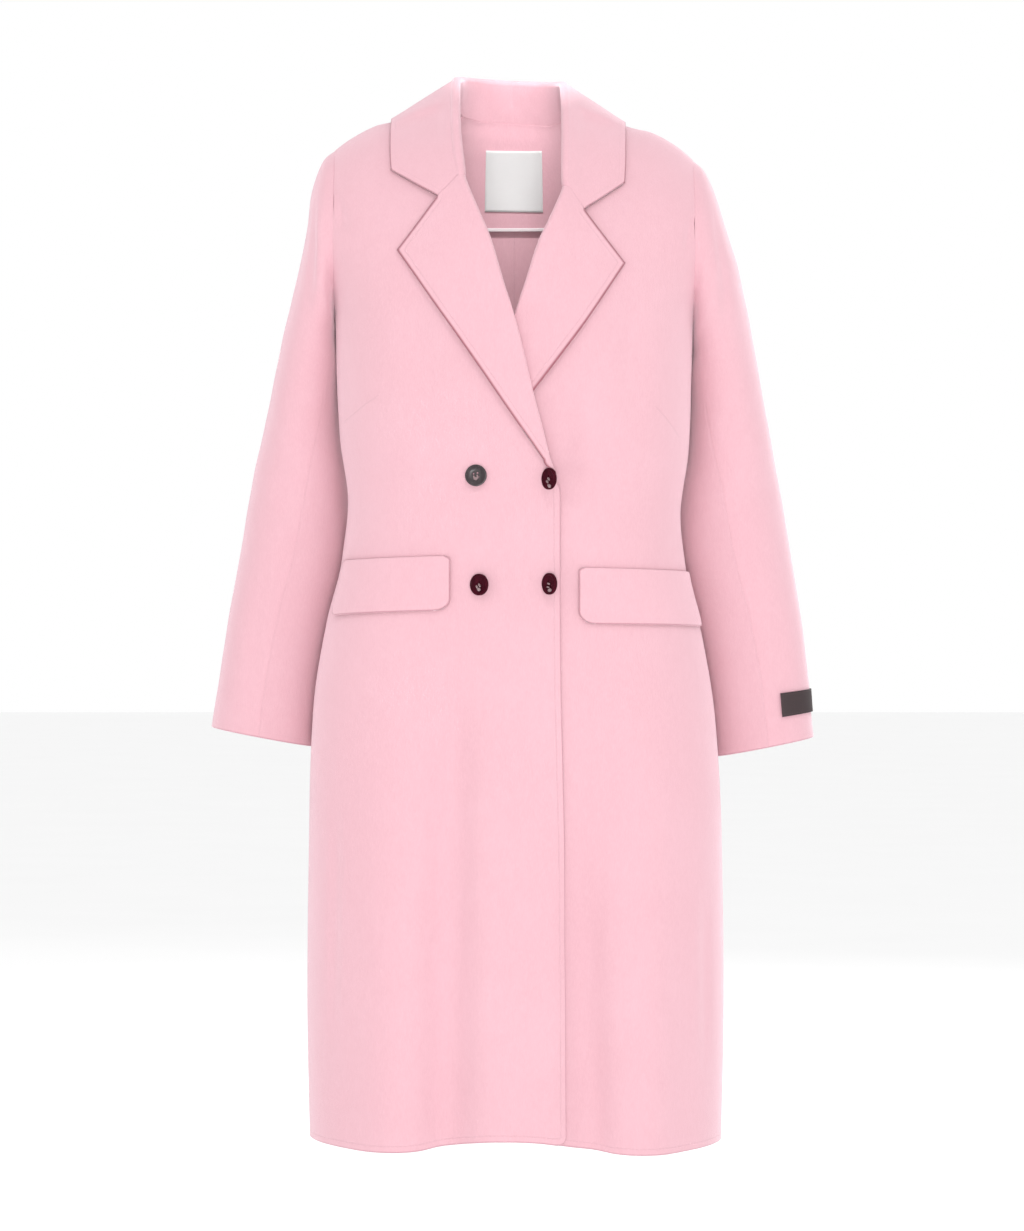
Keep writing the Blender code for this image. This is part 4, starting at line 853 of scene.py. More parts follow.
def make_sleeve_piece(name, side, top):
    """The top or the under sleeve, from the armhole down to the cuff."""
    sizes = bpy.context.scene.coat_sizes
    folds = RIGHT_SLEEVE_FOLDS if side < 0 else LEFT_SLEEVE_FOLDS
    last = SLEEVE[-1].step
    near = np.array([0.0, 0.05, 0.12, 0.22])
    steps = np.concatenate((near, np.linspace(0.34, last - 0.12, sizes.sleeve_rows),
                            [last - 0.07, last - 0.035, last]))
    front_seam = np.radians(between(SLEEVE, steps, "front_seam"))
    back_seam = np.radians(between(SLEEVE, steps, "back_seam"))
    away = SEAM_GAP / 2 / SLEEVE_SEAM_RADIUS
    if top:
        start, end, shares = back_seam - 2 * math.pi + away, front_seam - away, spread(46, 0.006)
    else:
        start, end, shares = front_seam + away, back_seam - away, spread(22, 0.010)
    phi = start[:, None] + (end - start)[:, None] * shares[None]
    step = np.repeat(steps[:, None], len(shares), 1)
    points = sleeve_form(side, phi, step)
    rows, columns = points.shape[:2]
    points = points.reshape(-1, 3)
    faces = grid_faces(rows, columns)
    guide = np.stack((side * np.cos(phi), -np.sin(phi), 0 * phi), axis=-1).reshape(-1, 3)
    normal = vertex_normals(points, faces)
    lower = slice(rows * columns // 2, None)
    if np.sum(normal[lower] * guide[lower]) < 0:
        faces = faces[:, ::-1].copy()
        normal = -normal
    degrees = np.degrees(phi).reshape(-1)
    turned = np.where(degrees > 180.0, degrees - 360.0, degrees)
    down = step.reshape(-1)
    relief = fold_relief(turned, down, folds, SLEEVE_STRETCH) * sizes.fold_strength
    hushed = smooth_step(down / 1.2) * smooth_step((last - down) / 1.0)
    points = points + normal * ((relief + SLEEVE_DRAPE * drape(points * 1.3)) * hushed)[:, None]
    normal = vertex_normals(points, faces)
    inner = points - normal * sizes.cloth
    seam = {r * columns + c for r in range(rows) for c in (0, columns - 1)} | set(range(columns))
    piece = cloth_shell("wool_" + name, points, inner, faces, seam, grid_uv(points, columns), wool_finish(name))
    own(piece, name)
    return piece


def neck_seam(side, place):
    """Points of the coat's neck seam: 0 at the gorge, 1 on the shoulder, 2 at the centre back."""
    gorge = float(place_at(front_edge_x(GORGE_Z), GORGE_Z)[1])
    if place <= 1.0:
        level = gorge + (1.0 - gorge) * place
        angle = edge_angle(side, level)
    else:
        level = NECK_LEVEL + (1.0 - NECK_LEVEL) * (2.0 - place) ** 2
        angle = back_neck_angle(side, level) if place < 2.0 else np.asarray(math.pi / 2)
    return body_form(angle, level), body_normal(angle, level)


def collar_line(side, place):
    """Middle line of the collar across one station, from the neck seam over the fold to the edge."""
    row = {name: float(between(COLLAR, place, name)) for name in Station._fields[1:]}
    fold = np.array((side * row["fold_x"] - row["slide"], row["fold_y"], row["fold_z"]))

    def spine(where):
        x, y, z = (float(between(COLLAR, where, name)) for name in ("fold_x", "fold_y", "fold_z"))
        return np.array((side * x, y, z))

    ahead, behind = spine(min(place + 0.02, 2.0)), spine(max(place - 0.02, 0.0))
    if place >= 1.98:
        ahead = spine(1.98) * np.array((-1.0, 1.0, 1.0))
        behind = spine(1.98)
    path = unit(ahead - behind)
    seam, out = neck_seam(side, place)
    cloth = bpy.context.scene.coat_sizes.cloth
    seam = seam - out * cloth / 2
    rise = fold - seam
    rise = unit(rise - path * (rise @ path))
    away = unit(np.cross(rise, path))
    guide = np.array((side, -0.6, 0.2)) if place < 1.0 else np.array((side * 0.5, 1.0, 0.0))
    if away @ guide < 0:
        away = -away
    radius = row["radius"]
    centre = fold - rise * radius
    seam = seam + rise * 0.0002
    inside = centre - away * radius
    stand = seam + (inside - seam) * STAND[:, None]
    turns = np.linspace(0.0, math.pi, FOLD_STEPS + 1)[1:, None]
    over = centre - away * radius * np.cos(turns) + rise * radius * np.sin(turns)
    begin = over[-1]
    outer_x = side * row["outer_x"] - row["shift"]
    level = row["outer_level"]
    if place > 1.25:
        edge_z = BACK_EDGE_Z - BACK_EDGE_DROP * float(smooth_step((place - 1.5) / 0.5))
        behind = float(place_at(outer_x, edge_z, front=False)[1])
        level += (behind - level) * float(smooth_step((place - 1.25) / 0.2))
    angle = angle_at(outer_x, level, front=place < 1.0)
    edge, normal = coat_point(angle, np.asarray(level))
    edge = edge + normal * (LAYER_GAP + cloth / 2)
    share = np.linspace(0.0, 1.0, FALL_STEPS + 1)[1:]
    fall = begin + (edge - begin) * share[:, None]
    fall = fall + away * (row["bulge"] * np.sin(math.pi * share))[:, None]
    if place < 0.8:
        lift = LAYER_GAP + cloth / 2 + 0.006 * (1.0 - share) ** 2
        laid, _ = on_front(side, fall[:, 0], fall[:, 2], lift)
        weight = smooth_step((0.8 - place) / 0.2) * smooth_step(share / 0.25)
        fall = fall + (laid - fall) * weight[:, None]
    return np.concatenate((stand, over, fall))


def gorge_line(side):
    """Middle of the cloth across the collar's end: over the lapel's fold, down the gorge and out to the
    corner."""
    cloth = bpy.context.scene.coat_sizes.cloth
    z = np.array((GORGE_Z - 0.002, GORGE_Z, GORGE_Z + 0.002))
    level = place_at(front_edge_x(z), z)[1]
    points, outs = coat_point(edge_angle(side, level), level)
    points = points + outs * layer(side, points)[..., None]
    row, turned = lapel_row(side, points[1], outs[1], points[2] - points[0])
    row = np.concatenate((points[1:2], row))
    turned = np.concatenate((outs[1:2], turned))
    columns = bpy.context.scene.coat_sizes.lapel_columns
    last = ARC_STEPS + 1 + int(np.argmin(np.abs(np.linspace(0.0, 1.0, columns) - NOTCH_SHARE)))
    seam = (row - turned * cloth / 2)[:last]
    run = np.concatenate(([0.0], np.cumsum(np.linalg.norm(np.diff(seam, axis=0), axis=1))))
    arc = run[ARC_STEPS]
    shares = np.concatenate((np.linspace(0.0, arc, KNEE), np.linspace(arc, run[-1], GORGE_STEPS + 1)[1:]))
    seam = np.stack([np.interp(shares, run, seam[:, k]) for k in range(3)], axis=-1)
    notch = np.array((side * NOTCH[0] - LAPEL_SHIFT, NOTCH[1]))
    corner = np.array((side * COLLAR_CORNER[0] - LEAF_SHIFT, COLLAR_CORNER[1]))
    share = np.linspace(0.0, 1.0, FALL_STEPS - GORGE_STEPS + 1)[1:, None]
    flat = notch + (corner - notch) * share
    height = float(between(LAPEL_ROLL, GORGE_Z, "height"))
    lift = LAYER_GAP + cloth / 2 + (height - LAYER_GAP) * TIP_SHARE ** 2 * (1.0 - share[:, 0]) ** 2
    leaf, _ = on_front(side, flat[:, 0], flat[:, 1], lift)
    whole = np.concatenate((seam, leaf))
    whole[:, 2] += 0.0004 * smooth_step((KNEE + GORGE_STEPS + 6 - np.arange(len(whole))) / 6.0)
    return whole


def make_collar():
    """Stand and fall in one sheet, from one notch round the neck to the other."""
    sizes = bpy.context.scene.coat_sizes
    places = np.concatenate(([0.0, 0.006, 0.014, 0.025, 0.04], np.linspace(0.06, 2.0, 72)))
    lines = []
    for side in (-1, 1):
        half, ending = [], gorge_line(side)
        for place in places:
            line = collar_line(side, max(place, 0.03))
            keep = float(smooth_step(place / COLLAR_BLEND)) if place < COLLAR_BLEND else 1.0
            half.append(ending + (line - ending) * keep)
        lines.append(half)
    middle = np.array(lines[0] + lines[1][-2::-1])
    rows, columns = middle.shape[:2]
    points = middle.reshape(-1, 3)
    faces = grid_faces(rows, columns)
    normal = vertex_normals(points, faces)
    probe = (rows // 2) * columns + columns - 4
    if normal[probe][1] < 0:
        faces = faces[:, ::-1].copy()
        normal = -normal
    outer, inner = points + normal * sizes.cloth / 2, points - normal * sizes.cloth / 2
    seam = {r * columns for r in range(rows)}
    ends = range(KNEE + GORGE_STEPS)
    seam |= set(ends) | {(rows - 1) * columns + c for c in ends}
    piece = cloth_shell("wool_collar", outer, inner, faces, seam, grid_uv(points, columns), wool_finish("collar"))
    own(piece, "collar")
    return piece


def sheet_on(name, points, outs, base, wall, seam, finish):
    """A thin piece on a panel: rows of points moved out by a base, and its wall further."""
    rows, columns = points.shape[:2]
    low = (points + outs * base).reshape(-1, 3)
    high = (points + outs * (base + wall)).reshape(-1, 3)
    faces = turned_out(high, grid_faces(rows, columns), outs)
    return cloth_shell(name, high, low, faces, seam(rows, columns), grid_uv(high, columns), finish)


def no_seam(rows, columns):
    """For a piece whose edges are all free."""
    return set()


def top_seam(rows, columns):
    """For a piece that is sewn along its last row."""
    return {(rows - 1) * columns + c for c in range(columns)}


def level_lean(x, z, share):
    """Heights at which inner pieces are laid, so that they hang level once the coat has settled."""
    return z + between(HANG, z, "drop") * lean_at(x) * share


def neckline_z(x):
    """Height of the back's neck seam at each x."""
    level = NECK_LEVEL + (1.0 - NECK_LEVEL) * np.linspace(0.0, 1.0, 80) ** 2
    right = body_form(back_neck_angle(-1, level), level)[::-1]
    left = body_form(back_neck_angle(1, level), level)[1:]
    seam = np.concatenate((right, left))
    return np.interp(x, seam[:, 0], seam[:, 2])


def make_facing():
    """The back-neck facing from the neck seam down, with a pale bound lower edge."""
    sizes = bpy.context.scene.coat_sizes
    Row = namedtuple("Row", "up half")
    table = (Row(0.0, FACING_HALF), Row(0.08, 0.086), Row(0.45, 0.086), Row(0.70, 0.076), Row(1.0, 0.058))
    up = np.concatenate(([0.0, 0.008, 0.018], np.linspace(0.035, 0.965, 30), [0.985, 1.0]))[:, None]
    across = np.linspace(-1.0, 1.0, 49)[None]
    x = between(table, up, "half") * across
    top = neckline_z(table[-1].half * across) - 0.0004
    z = FACING_LOW + (top - FACING_LOW) * up
    high = level_lean(x, z, smooth_step((-0.045 - z) / 0.06))
    points, out = coat_point(*place_at(x, high, front=False))
    gap = sizes.cloth + 0.0002 + FACING_GAP * smooth_step((1.0 - up) / 0.35)[..., None]
    low = (points - out * gap).reshape(-1, 3)
    wall = FACING_WALL * (0.35 + 0.65 * smooth_step((1.0 - up) / 0.15))[..., None]
    inside = (points - out * (gap + wall)).reshape(-1, 3)
    faces = turned_out(inside, grid_faces(*x.shape), -out)
    piece = cloth_shell("wool_back_neck_facing", inside, low, faces, top_seam(*x.shape),
                        grid_uv(inside, x.shape[1]), wool_finish("back_neck_facing"))
    own(piece, "back_neck_facing")
    band = np.linspace(-0.1232, -0.1195, 7)[:, None]
    x = FACING_HALF * across + 0 * band
    points, out = coat_point(*place_at(x, level_lean(x, band, 1.0), front=False))
    base = sizes.cloth + FACING_GAP + FACING_WALL + 0.0003
    binding = sheet_on("facing_binding", points, -out, base, BINDING_WALL, no_seam,
                       satin_finish("binding_satin", BINDING_COLOUR))
    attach(binding, "root")
    return piece, binding


def make_flap(flap):
    """A pocket flap with rounded corners, sewn along its top."""
    sizes = bpy.context.scene.coat_sizes
    down = np.concatenate(([0.0, 0.018, 0.04], np.linspace(0.07, 0.93, 18), [0.96, 0.982, 1.0]))[::-1]
    share = spread(38, 0.006)
    top = flap.top_inner + (flap.top_outer - flap.top_inner) * share[None]
    bottom = flap.bottom_inner + (flap.bottom_outer - flap.bottom_inner) * share[None]
    z = top + (bottom - top) * down[:, None]
    low, high = np.maximum(0.0, FLAP_CORNER - (z - bottom)), np.maximum(0.0, FLAP_TOP_CORNER - (top - z))
    inset = FLAP_CORNER - np.sqrt(np.maximum(0.0, FLAP_CORNER ** 2 - low ** 2))
    inset = inset + FLAP_TOP_CORNER - np.sqrt(np.maximum(0.0, FLAP_TOP_CORNER ** 2 - high ** 2))
    start = place_at(flap.side * flap.inner_x, z)[0]
    end = float(side_angle(flap.side, -0.28)) - flap.side * math.radians(flap.side_angle)
    turn = np.sign(end - start) * inset / FLAP_TURN_RADIUS
    angle = start + turn + (end - start - 2 * turn) * share[None]
    level = z - ARMPIT_Z
    points, out = coat_point(angle, level)
    points = points + out * layer(flap.side, points)[..., None]
    swell = FLAP_SWELL * np.sin(math.pi * down)[:, None] * np.sin(math.pi * share)[None]
    points = points + out * swell[..., None]
    piece = sheet_on("wool_" + flap.name, points, out, LAYER_GAP, sizes.cloth, top_seam, wool_finish(flap.name))
    own(piece, flap.name)
    return piece


def clear_selection():
    bpy.ops.object.select_all(action="DESELECT")


def pick_faces(mesh, test):
    """Selects the faces that pass a test, in edit mode."""
    bpy.ops.object.mode_set(mode="OBJECT")
    for polygon in mesh.polygons:
        polygon.select = bool(test(polygon))
    bpy.ops.object.mode_set(mode="EDIT")


def shaped_button():
    """A turned four-hole button about the origin, facing +Z, as one mesh."""
    sizes = bpy.context.scene.coat_sizes
    radius, height = sizes.button_radius, sizes.button_height
    clear_selection()
    # No map on the disc or the drills: cutting the holes would give it other values on each run, and none is read
    bpy.ops.mesh.primitive_cylinder_add(vertices=72, radius=radius, depth=height, calc_uvs=False,
                                        location=(0, 0, height / 2))
    made = bpy.context.object
    bpy.ops.object.mode_set(mode="EDIT")
    bpy.ops.mesh.select_mode(type="FACE")
    pick_faces(made.data, lambda p: p.normal.z > 0.9)
    for inset, sink in DISH:
        bpy.ops.mesh.inset(thickness=radius * inset, depth=height * sink)
    pick_faces(made.data, lambda p: p.normal.z < -0.9)
    bpy.ops.mesh.inset(thickness=radius * 0.34, depth=0.0)
    bpy.ops.transform.translate(value=(0, 0, -height * 0.10))
    bpy.ops.object.mode_set(mode="OBJECT")
    soften = made.modifiers.new("soft_rim", "BEVEL")
    soften.width, soften.segments, soften.limit_method, soften.angle_limit = 0.00055, 3, "ANGLE", math.radians(40)
    bpy.ops.object.modifier_apply(modifier="soft_rim")
    drills = []
    for across in (-1, 1):
        for up in (-1, 1):
            clear_selection()
            bpy.ops.mesh.primitive_cylinder_add(vertices=20, radius=HOLE_RADIUS, depth=height * 4,
                                                calc_uvs=False, location=(across * HOLE_PLACE, up * HOLE_PLACE, 0))
            drills.append(bpy.context.object)
    for drill in drills:
        cut = made.modifiers.new("hole", "BOOLEAN")
        cut.operation, cut.solver, cut.object = "DIFFERENCE", "EXACT", drill
        bpy.context.view_layer.objects.active = made
        bpy.ops.object.modifier_apply(modifier="hole")
    for drill in drills:
        bpy.data.objects.remove(drill, do_unlink=True)
    made.select_set(True)
    bpy.ops.object.shade_smooth_by_angle(angle=math.radians(32))
    return made


def shaped_thread():
    """Two bands of thread through the four holes, three strands each, as one mesh."""
    height = bpy.context.scene.coat_sizes.button_height
    parts = []
    for across in (-1, 1):
        for strand in (-1, 0, 1):
            clear_selection()
            x = across * 0.0018 + strand * THREAD_PITCH
            bpy.ops.mesh.primitive_torus_add(major_segments=28, minor_segments=8, major_radius=0.0019,
                                             minor_radius=THREAD_RADIUS, rotation=(0, math.pi / 2, 0),
                                             location=(x, 0, height * 0.44))
            band = bpy.context.object
            bpy.ops.transform.resize(value=(1.0, 1.0, 0.45))
            parts.append(band)
    clear_selection()
    for band in parts:
        band.select_set(True)
    bpy.context.view_layer.objects.active = parts[0]
    bpy.ops.object.join()
    bpy.ops.object.transform_apply(location=True, rotation=True, scale=True)
    bpy.ops.object.shade_smooth()
    return bpy.context.object


def shaped_shank(length):
    """Thread wound round itself between a button and the cloth."""
    clear_selection()
    bpy.ops.mesh.primitive_cylinder_add(vertices=20, radius=SHANK_RADIUS, depth=length, location=(0, 0, -length / 2))
    shank = bpy.context.object
    bpy.ops.object.mode_set(mode="EDIT")
    bpy.ops.mesh.select_all(action="SELECT")
    bpy.ops.mesh.subdivide(number_cuts=5)
    bpy.ops.object.mode_set(mode="OBJECT")
    for vertex in shank.data.vertices:
        swell = 1.0 + 0.16 * math.cos(vertex.co.z / length * math.tau * 6)
        vertex.co.x *= swell
        vertex.co.y *= swell
    bpy.ops.object.shade_smooth()
    return shank


def make_buttons():
    """The four buttons on the body, each with its thread and shank."""
    sizes = bpy.context.scene.coat_sizes
    model, thread = shaped_button(), shaped_thread()
    for number, button in enumerate(BUTTONS):
        angle, level = place_at(button.x, button.z)
        surface, out = coat_point(angle, level)
        spot, out = Vector(settle(surface)), Vector(out)
        face = Matrix.Rotation(math.radians(90.0), 4, "X")
        facing = math.atan2(out.x, -out.y)
        turned = Matrix.Rotation(facing + math.radians(button.turn), 4, "Z")
        spin = turned @ Matrix.Rotation(math.radians(button.lean), 4, "Y") @ face
        axis = (spin.to_3x3() @ Vector((0, 0, 1))).normalized()
        reach = sizes.button_radius * math.sqrt(max(0.0, 1.0 - axis.dot(out) ** 2))
        place = Matrix.Translation(spot + out * (reach + 0.0006)) @ spin
        quarter = Matrix.Rotation(math.radians(HOLE_TURN + HOLE_TURN_STEP * number), 4, "Z")
        disc = copy_of(model, button.name.replace("button", "horn_button"), place @ quarter, horn_finish(number))
        bands = copy_of(thread, button.name.replace("button", "thread"), place @ quarter, thread_finish())
        shank = shaped_shank(reach + 0.0010)
        turn = out.to_track_quat("Z", "Y").to_matrix().to_4x4()
        upright = Matrix.Translation(spot + out * (reach + 0.0010)) @ turn
        post = copy_of(shank, button.name.replace("button", "shank"), upright, thread_finish())
        bpy.data.objects.remove(shank, do_unlink=True)
        own(disc, button.name)
        for trim in (bands, post):
            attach(trim, "root")
    bpy.data.objects.remove(model, do_unlink=True)
    bpy.data.objects.remove(thread, do_unlink=True)


def copy_of(model, name, place, finish):
    """A copy with its own mesh, its place worked into its points."""
    made = model.copy()
    made.data = model.data.copy()
    made.name = made.data.name = name
    bpy.context.scene.collection.objects.link(made)
    made.data.transform(place)
    made.data.materials.clear()
    made.data.materials.append(finish)
    return made


def make_labels():
    """The blank label on the facing and the blank tape round the left cuff."""
    sizes = bpy.context.scene.coat_sizes
    z = np.linspace(*NECK_LABEL_Z, 24)[:, None]
    x = np.linspace(-NECK_LABEL_HALF, NECK_LABEL_HALF, 25)[None] + 0 * z
    points, out = coat_point(*place_at(x, level_lean(x, z, 0.85), front=False))
    base = sizes.cloth + FACING_GAP + FACING_WALL + 0.0006
    neck = sheet_on("neck_label_satin", points, -out, base, LABEL_WALL, no_seam,
                    satin_finish("label_satin", LABEL_COLOUR))
    own(neck, "neck_label")
    steps = np.linspace(*CUFF_LABEL_STEPS, 16)
    phi = np.radians(np.linspace(*CUFF_LABEL_ANGLES, 40))
    points = sleeve_form(1, phi[None], steps[:, None])
    out = vertex_normals(points.reshape(-1, 3), grid_faces(len(steps), len(phi)))
    if np.sum(out[:, 0]) < 0:
        out = -out
    cuff = sheet_on("cuff_label_tape", points, out.reshape(points.shape), LAYER_GAP, LABEL_WALL, no_seam,
                    tape_finish())
    own(cuff, "cuff_label")
    return neck, cuff


class Nodes:
    """Short ways to add and join a material's nodes."""

    def __init__(self, name):
        self.material = bpy.data.materials.new(name)
        self.material.use_nodes = True
        self.tree = self.material.node_tree
        self.shader = self.tree.nodes["Principled BSDF"]

    def add(self, kind, **values):
        node = self.tree.nodes.new(kind)
        for key, value in values.items():
            setattr(node, key, value)
        return node

    def join(self, start, end):
        self.tree.links.new(start, end)

    def math(self, operation, a, b=None, clamp=False):
        node = self.add("ShaderNodeMath", operation=operation, use_clamp=clamp)
        for k, value in enumerate((a, b)):
            if value is None:
                continue
            if isinstance(value, (int, float)):
                node.inputs[k].default_value = value
            else:
                self.join(value, node.inputs[k])
        return node.outputs[0]

    def noise(self, place, scale, detail=2.0, rough=0.5, stretch=(1.0, 1.0, 1.0)):
        mapping = self.add("ShaderNodeMapping")
        mapping.inputs["Scale"].default_value = stretch
        self.join(place, mapping.inputs["Vector"])
        node = self.add("ShaderNodeTexNoise")
        node.inputs["Scale"].default_value = scale
        node.inputs["Detail"].default_value = detail
        node.inputs["Roughness"].default_value = rough
        self.join(mapping.outputs["Vector"], node.inputs["Vector"])
        return node.outputs["Fac"]

    def attribute(self, name):
        return self.add("ShaderNodeAttribute", attribute_name=name).outputs["Fac"]

    def near(self, value, middle, width):
        """1 where a value is at the middle, falling to 0 a width away."""
        away = self.math("ABSOLUTE", self.math("SUBTRACT", value, middle))
        return self.math("SUBTRACT", 1.0, self.math("DIVIDE", away, width), True)

    def dashes(self, along, pitch, gap):
        """1 on each stitch of a line and 0 in the gap before it."""
        return self.math("GREATER_THAN", self.math("FRACT", self.math("DIVIDE", along, pitch)), gap)

    def above(self, value, level, gain):
        """How far a value is over a level, times a gain, kept between 0 and 1."""
        return self.math("MULTIPLY", self.math("SUBTRACT", value, level), gain, True)

    def mix(self, share, first, second):
        node = self.add("ShaderNodeMix", data_type="RGBA")
        for key, value in (("Factor", share), ("A", first), ("B", second)):
            kind = "VALUE" if key == "Factor" else "RGBA"
            socket = [s for s in node.inputs if s.name == key and s.type == kind][0]
            if isinstance(value, bpy.types.NodeSocket):
                self.join(value, socket)
            elif isinstance(value, (int, float)):
                socket.default_value = value
            else:
                socket.default_value = (*value, 1.0)
        return [s for s in node.outputs if s.type == "RGBA"][0]

    def bump(self, height, strength, distance, after=None):
        node = self.add("ShaderNodeBump")
        node.inputs["Strength"].default_value = strength
        node.inputs["Distance"].default_value = distance
        self.join(height, node.inputs["Height"])
        if after is not None:
            self.join(after, node.inputs["Normal"])
        return node.outputs["Normal"]


def tint(colour, factor):
    """A colour made lighter or darker."""
    return tuple(min(1.0, channel * factor) for channel in colour)


# Colours that only one small piece has, and how the painted shade along free edges darkens each channel of the wool
BINDING_COLOUR = (0.70, 0.64, 0.65)
LABEL_COLOUR = (0.56, 0.57, 0.565)
# Paler horn for the button that faces the camera: a painted reflection of the lamps in its polished face
PAINTED_REFLECTION_HORN = (0.058, 0.044, 0.048)
EDGE_SHADE_DEPTH = (0.40, 0.16, 0.20)
# Widths on the cloth, in metres, and the share of the pitch that lies between two stitches
STITCH_WIDTH, STITCH_PITCH, STITCH_SPACE = 0.0009, 0.0042, 0.30
DART_WIDTH, EDGE_SHADE_WIDTH, LAPEL_SHADE_EXTRA = 0.0012, 0.0014, 0.0009
# How strongly each kind of piece shows its edge stitching and its painted edge shade, and each panel's tone with its
# painted shade and light
STITCHES = {"front": 1.0, "collar": 0.45, "flap": 0.12, "back": 0.25, "sleeve": 0.22}
EDGE_SHADES = {"collar": 0.75, "flap": 0.48, "back": 0.30, "sleeve": 0.30}
# Each panel's tone is painted shade and light: darker on the facing inside the neck, the under sleeves and the backs,
# lighter on the collar and flaps that stand out
PANEL_SHADE_TINTS = {
    "front_right": 1.0, "front_left": 0.995, "back_right": 0.99, "back_left": 0.985, "sleeve_top_right": 0.995,
    "sleeve_top_left": 1.0, "sleeve_under_right": 0.97, "sleeve_under_left": 0.97, "collar": 1.005,
    "back_neck_facing": 0.95, "flap_right": 1.01, "flap_left": 1.01,
}


def wool_finish(node_name):
    """Fulled double-face wool: brushed nap over a faint twill, with edge stitching, sewn seams and a dart, painted
    shade along the free edges and a panel tone that paints shade and light.
    """
    colours, sizes = bpy.context.scene.coat_colours, bpy.context.scene.coat_sizes
    n = Nodes("wool_" + node_name)
    kind = node_name.split("_")[0]
    # Each panel's wool takes its painted shade and light
    base = tint(colours.wool, PANEL_SHADE_TINTS[node_name])
    deep = tint(colours.wool_shade, PANEL_SHADE_TINTS[node_name])
    place = n.add("ShaderNodeTexCoord").outputs["Object"]
    cloth = n.add("ShaderNodeUVMap", uv_map="cloth").outputs["UV"]
    cloud = n.noise(place, 9.0, 3.0, 0.55)
    mottle = n.noise(place, 130.0, 3.0, 0.6, (1.0, 1.0, 0.45))
    fibre = n.noise(place, 900.0, 3.0, 0.65, (1.0, 1.0, 0.22))
    fuzz = n.noise(place, 2300.0, 2.0, 0.6)
    twill = n.add("ShaderNodeTexWave", wave_type="BANDS", bands_direction="DIAGONAL")
    twill.inputs["Scale"].default_value = 290.0
    twill.inputs["Distortion"].default_value = 3.0
    twill.inputs["Detail Scale"].default_value = 2.0
    n.join(cloth, twill.inputs["Vector"])
    edge, along, seam = n.attribute("edge"), n.attribute("along"), n.attribute("seam")
    line = n.near(edge, sizes.stitch_inset, STITCH_WIDTH)
    dash = n.dashes(along, STITCH_PITCH, STITCH_SPACE)
    strength = STITCHES[kind]
    stitch = n.math("MULTIPLY", line, n.math("ADD", n.math("MULTIPLY", dash, 0.5 * strength), 0.5 * strength))
    sewn = n.math("SUBTRACT", 1.0, n.math("DIVIDE", seam, SEAM_WIDTH), True)
    if kind == "front":
        tuck = n.math("SUBTRACT", 1.0, n.math("DIVIDE", n.math("ABSOLUTE", n.attribute("dart")), DART_WIDTH), True)
        share = n.attribute("dart_along")
        ends = n.math("MULTIPLY", n.math("MULTIPLY", share, 7.0, True),
                      n.math("MULTIPLY", n.math("SUBTRACT", 1.0, share), 9.0, True))
        sewn = n.math("MAXIMUM", sewn, n.math("MULTIPLY", n.math("MULTIPLY", tuck, ends), 1.6))
    # Painted shade along free edges: a dark maroon line, partly the sewn edge of the double cloth, mostly painted
    # shade for the dark line where a lifted edge shadows the cloth under it; wider and stronger on the lapels
    width = n.math("ADD", n.math("MULTIPLY", n.attribute("turned"), LAPEL_SHADE_EXTRA), EDGE_SHADE_WIDTH)
    rim = n.math("SUBTRACT", 1.5, n.math("DIVIDE", edge, width), True)
    if kind == "front":
        rim = n.math("MULTIPLY", rim, n.math("ADD", n.math("MULTIPLY", n.attribute("turned"), 0.50), 0.38))
    else:
        rim = n.math("MULTIPLY", rim, EDGE_SHADES[kind])
    share = n.math("ADD", n.math("MULTIPLY", n.math("SUBTRACT", cloud, 0.38), 1.4),
                   n.math("MULTIPLY", n.math("SUBTRACT", mottle, 0.5), 1.1), True)
    colour = n.mix(share, deep, base)
    colour = n.mix(n.above(fibre, 0.42, 1.5), colour, tint(base, 1.06))
    # Mixes in the painted edge shade
    colour = n.mix(rim, colour, [channel * depth for channel, depth in zip(deep, EDGE_SHADE_DEPTH)])
    colour = n.mix(n.math("MULTIPLY", sewn, 0.12 if kind == "sleeve" else 0.22), colour, tint(deep, 0.80))
    colour = n.mix(n.math("MULTIPLY", stitch, 0.35), colour, tint(deep, 0.86))
    n.join(colour, n.shader.inputs["Base Color"])
    normal = n.bump(n.math("ADD", fibre, n.math("MULTIPLY", fuzz, 0.6)), 0.55, 0.00045)
    normal = n.bump(mottle, 0.35, 0.0009, normal)
    normal = n.bump(twill.outputs["Fac"], 0.18, 0.00012, normal)
    sunk = n.math("MAXIMUM", stitch, n.math("MULTIPLY", sewn, 0.4))
    normal = n.bump(n.math("SUBTRACT", 1.0, sunk), 0.6, 0.0005, normal)
    n.join(normal, n.shader.inputs["Normal"])
    n.join(n.math("ADD", 0.80, n.math("MULTIPLY", mottle, 0.14)), n.shader.inputs["Roughness"])
    n.shader.inputs["Specular IOR Level"].default_value = 0.22
    n.shader.inputs["Sheen Weight"].default_value = 0.75
    n.shader.inputs["Sheen Roughness"].default_value = 0.55
    n.shader.inputs["Sheen Tint"].default_value = (1.0, 0.80, 0.86, 1.0)
    return n.material


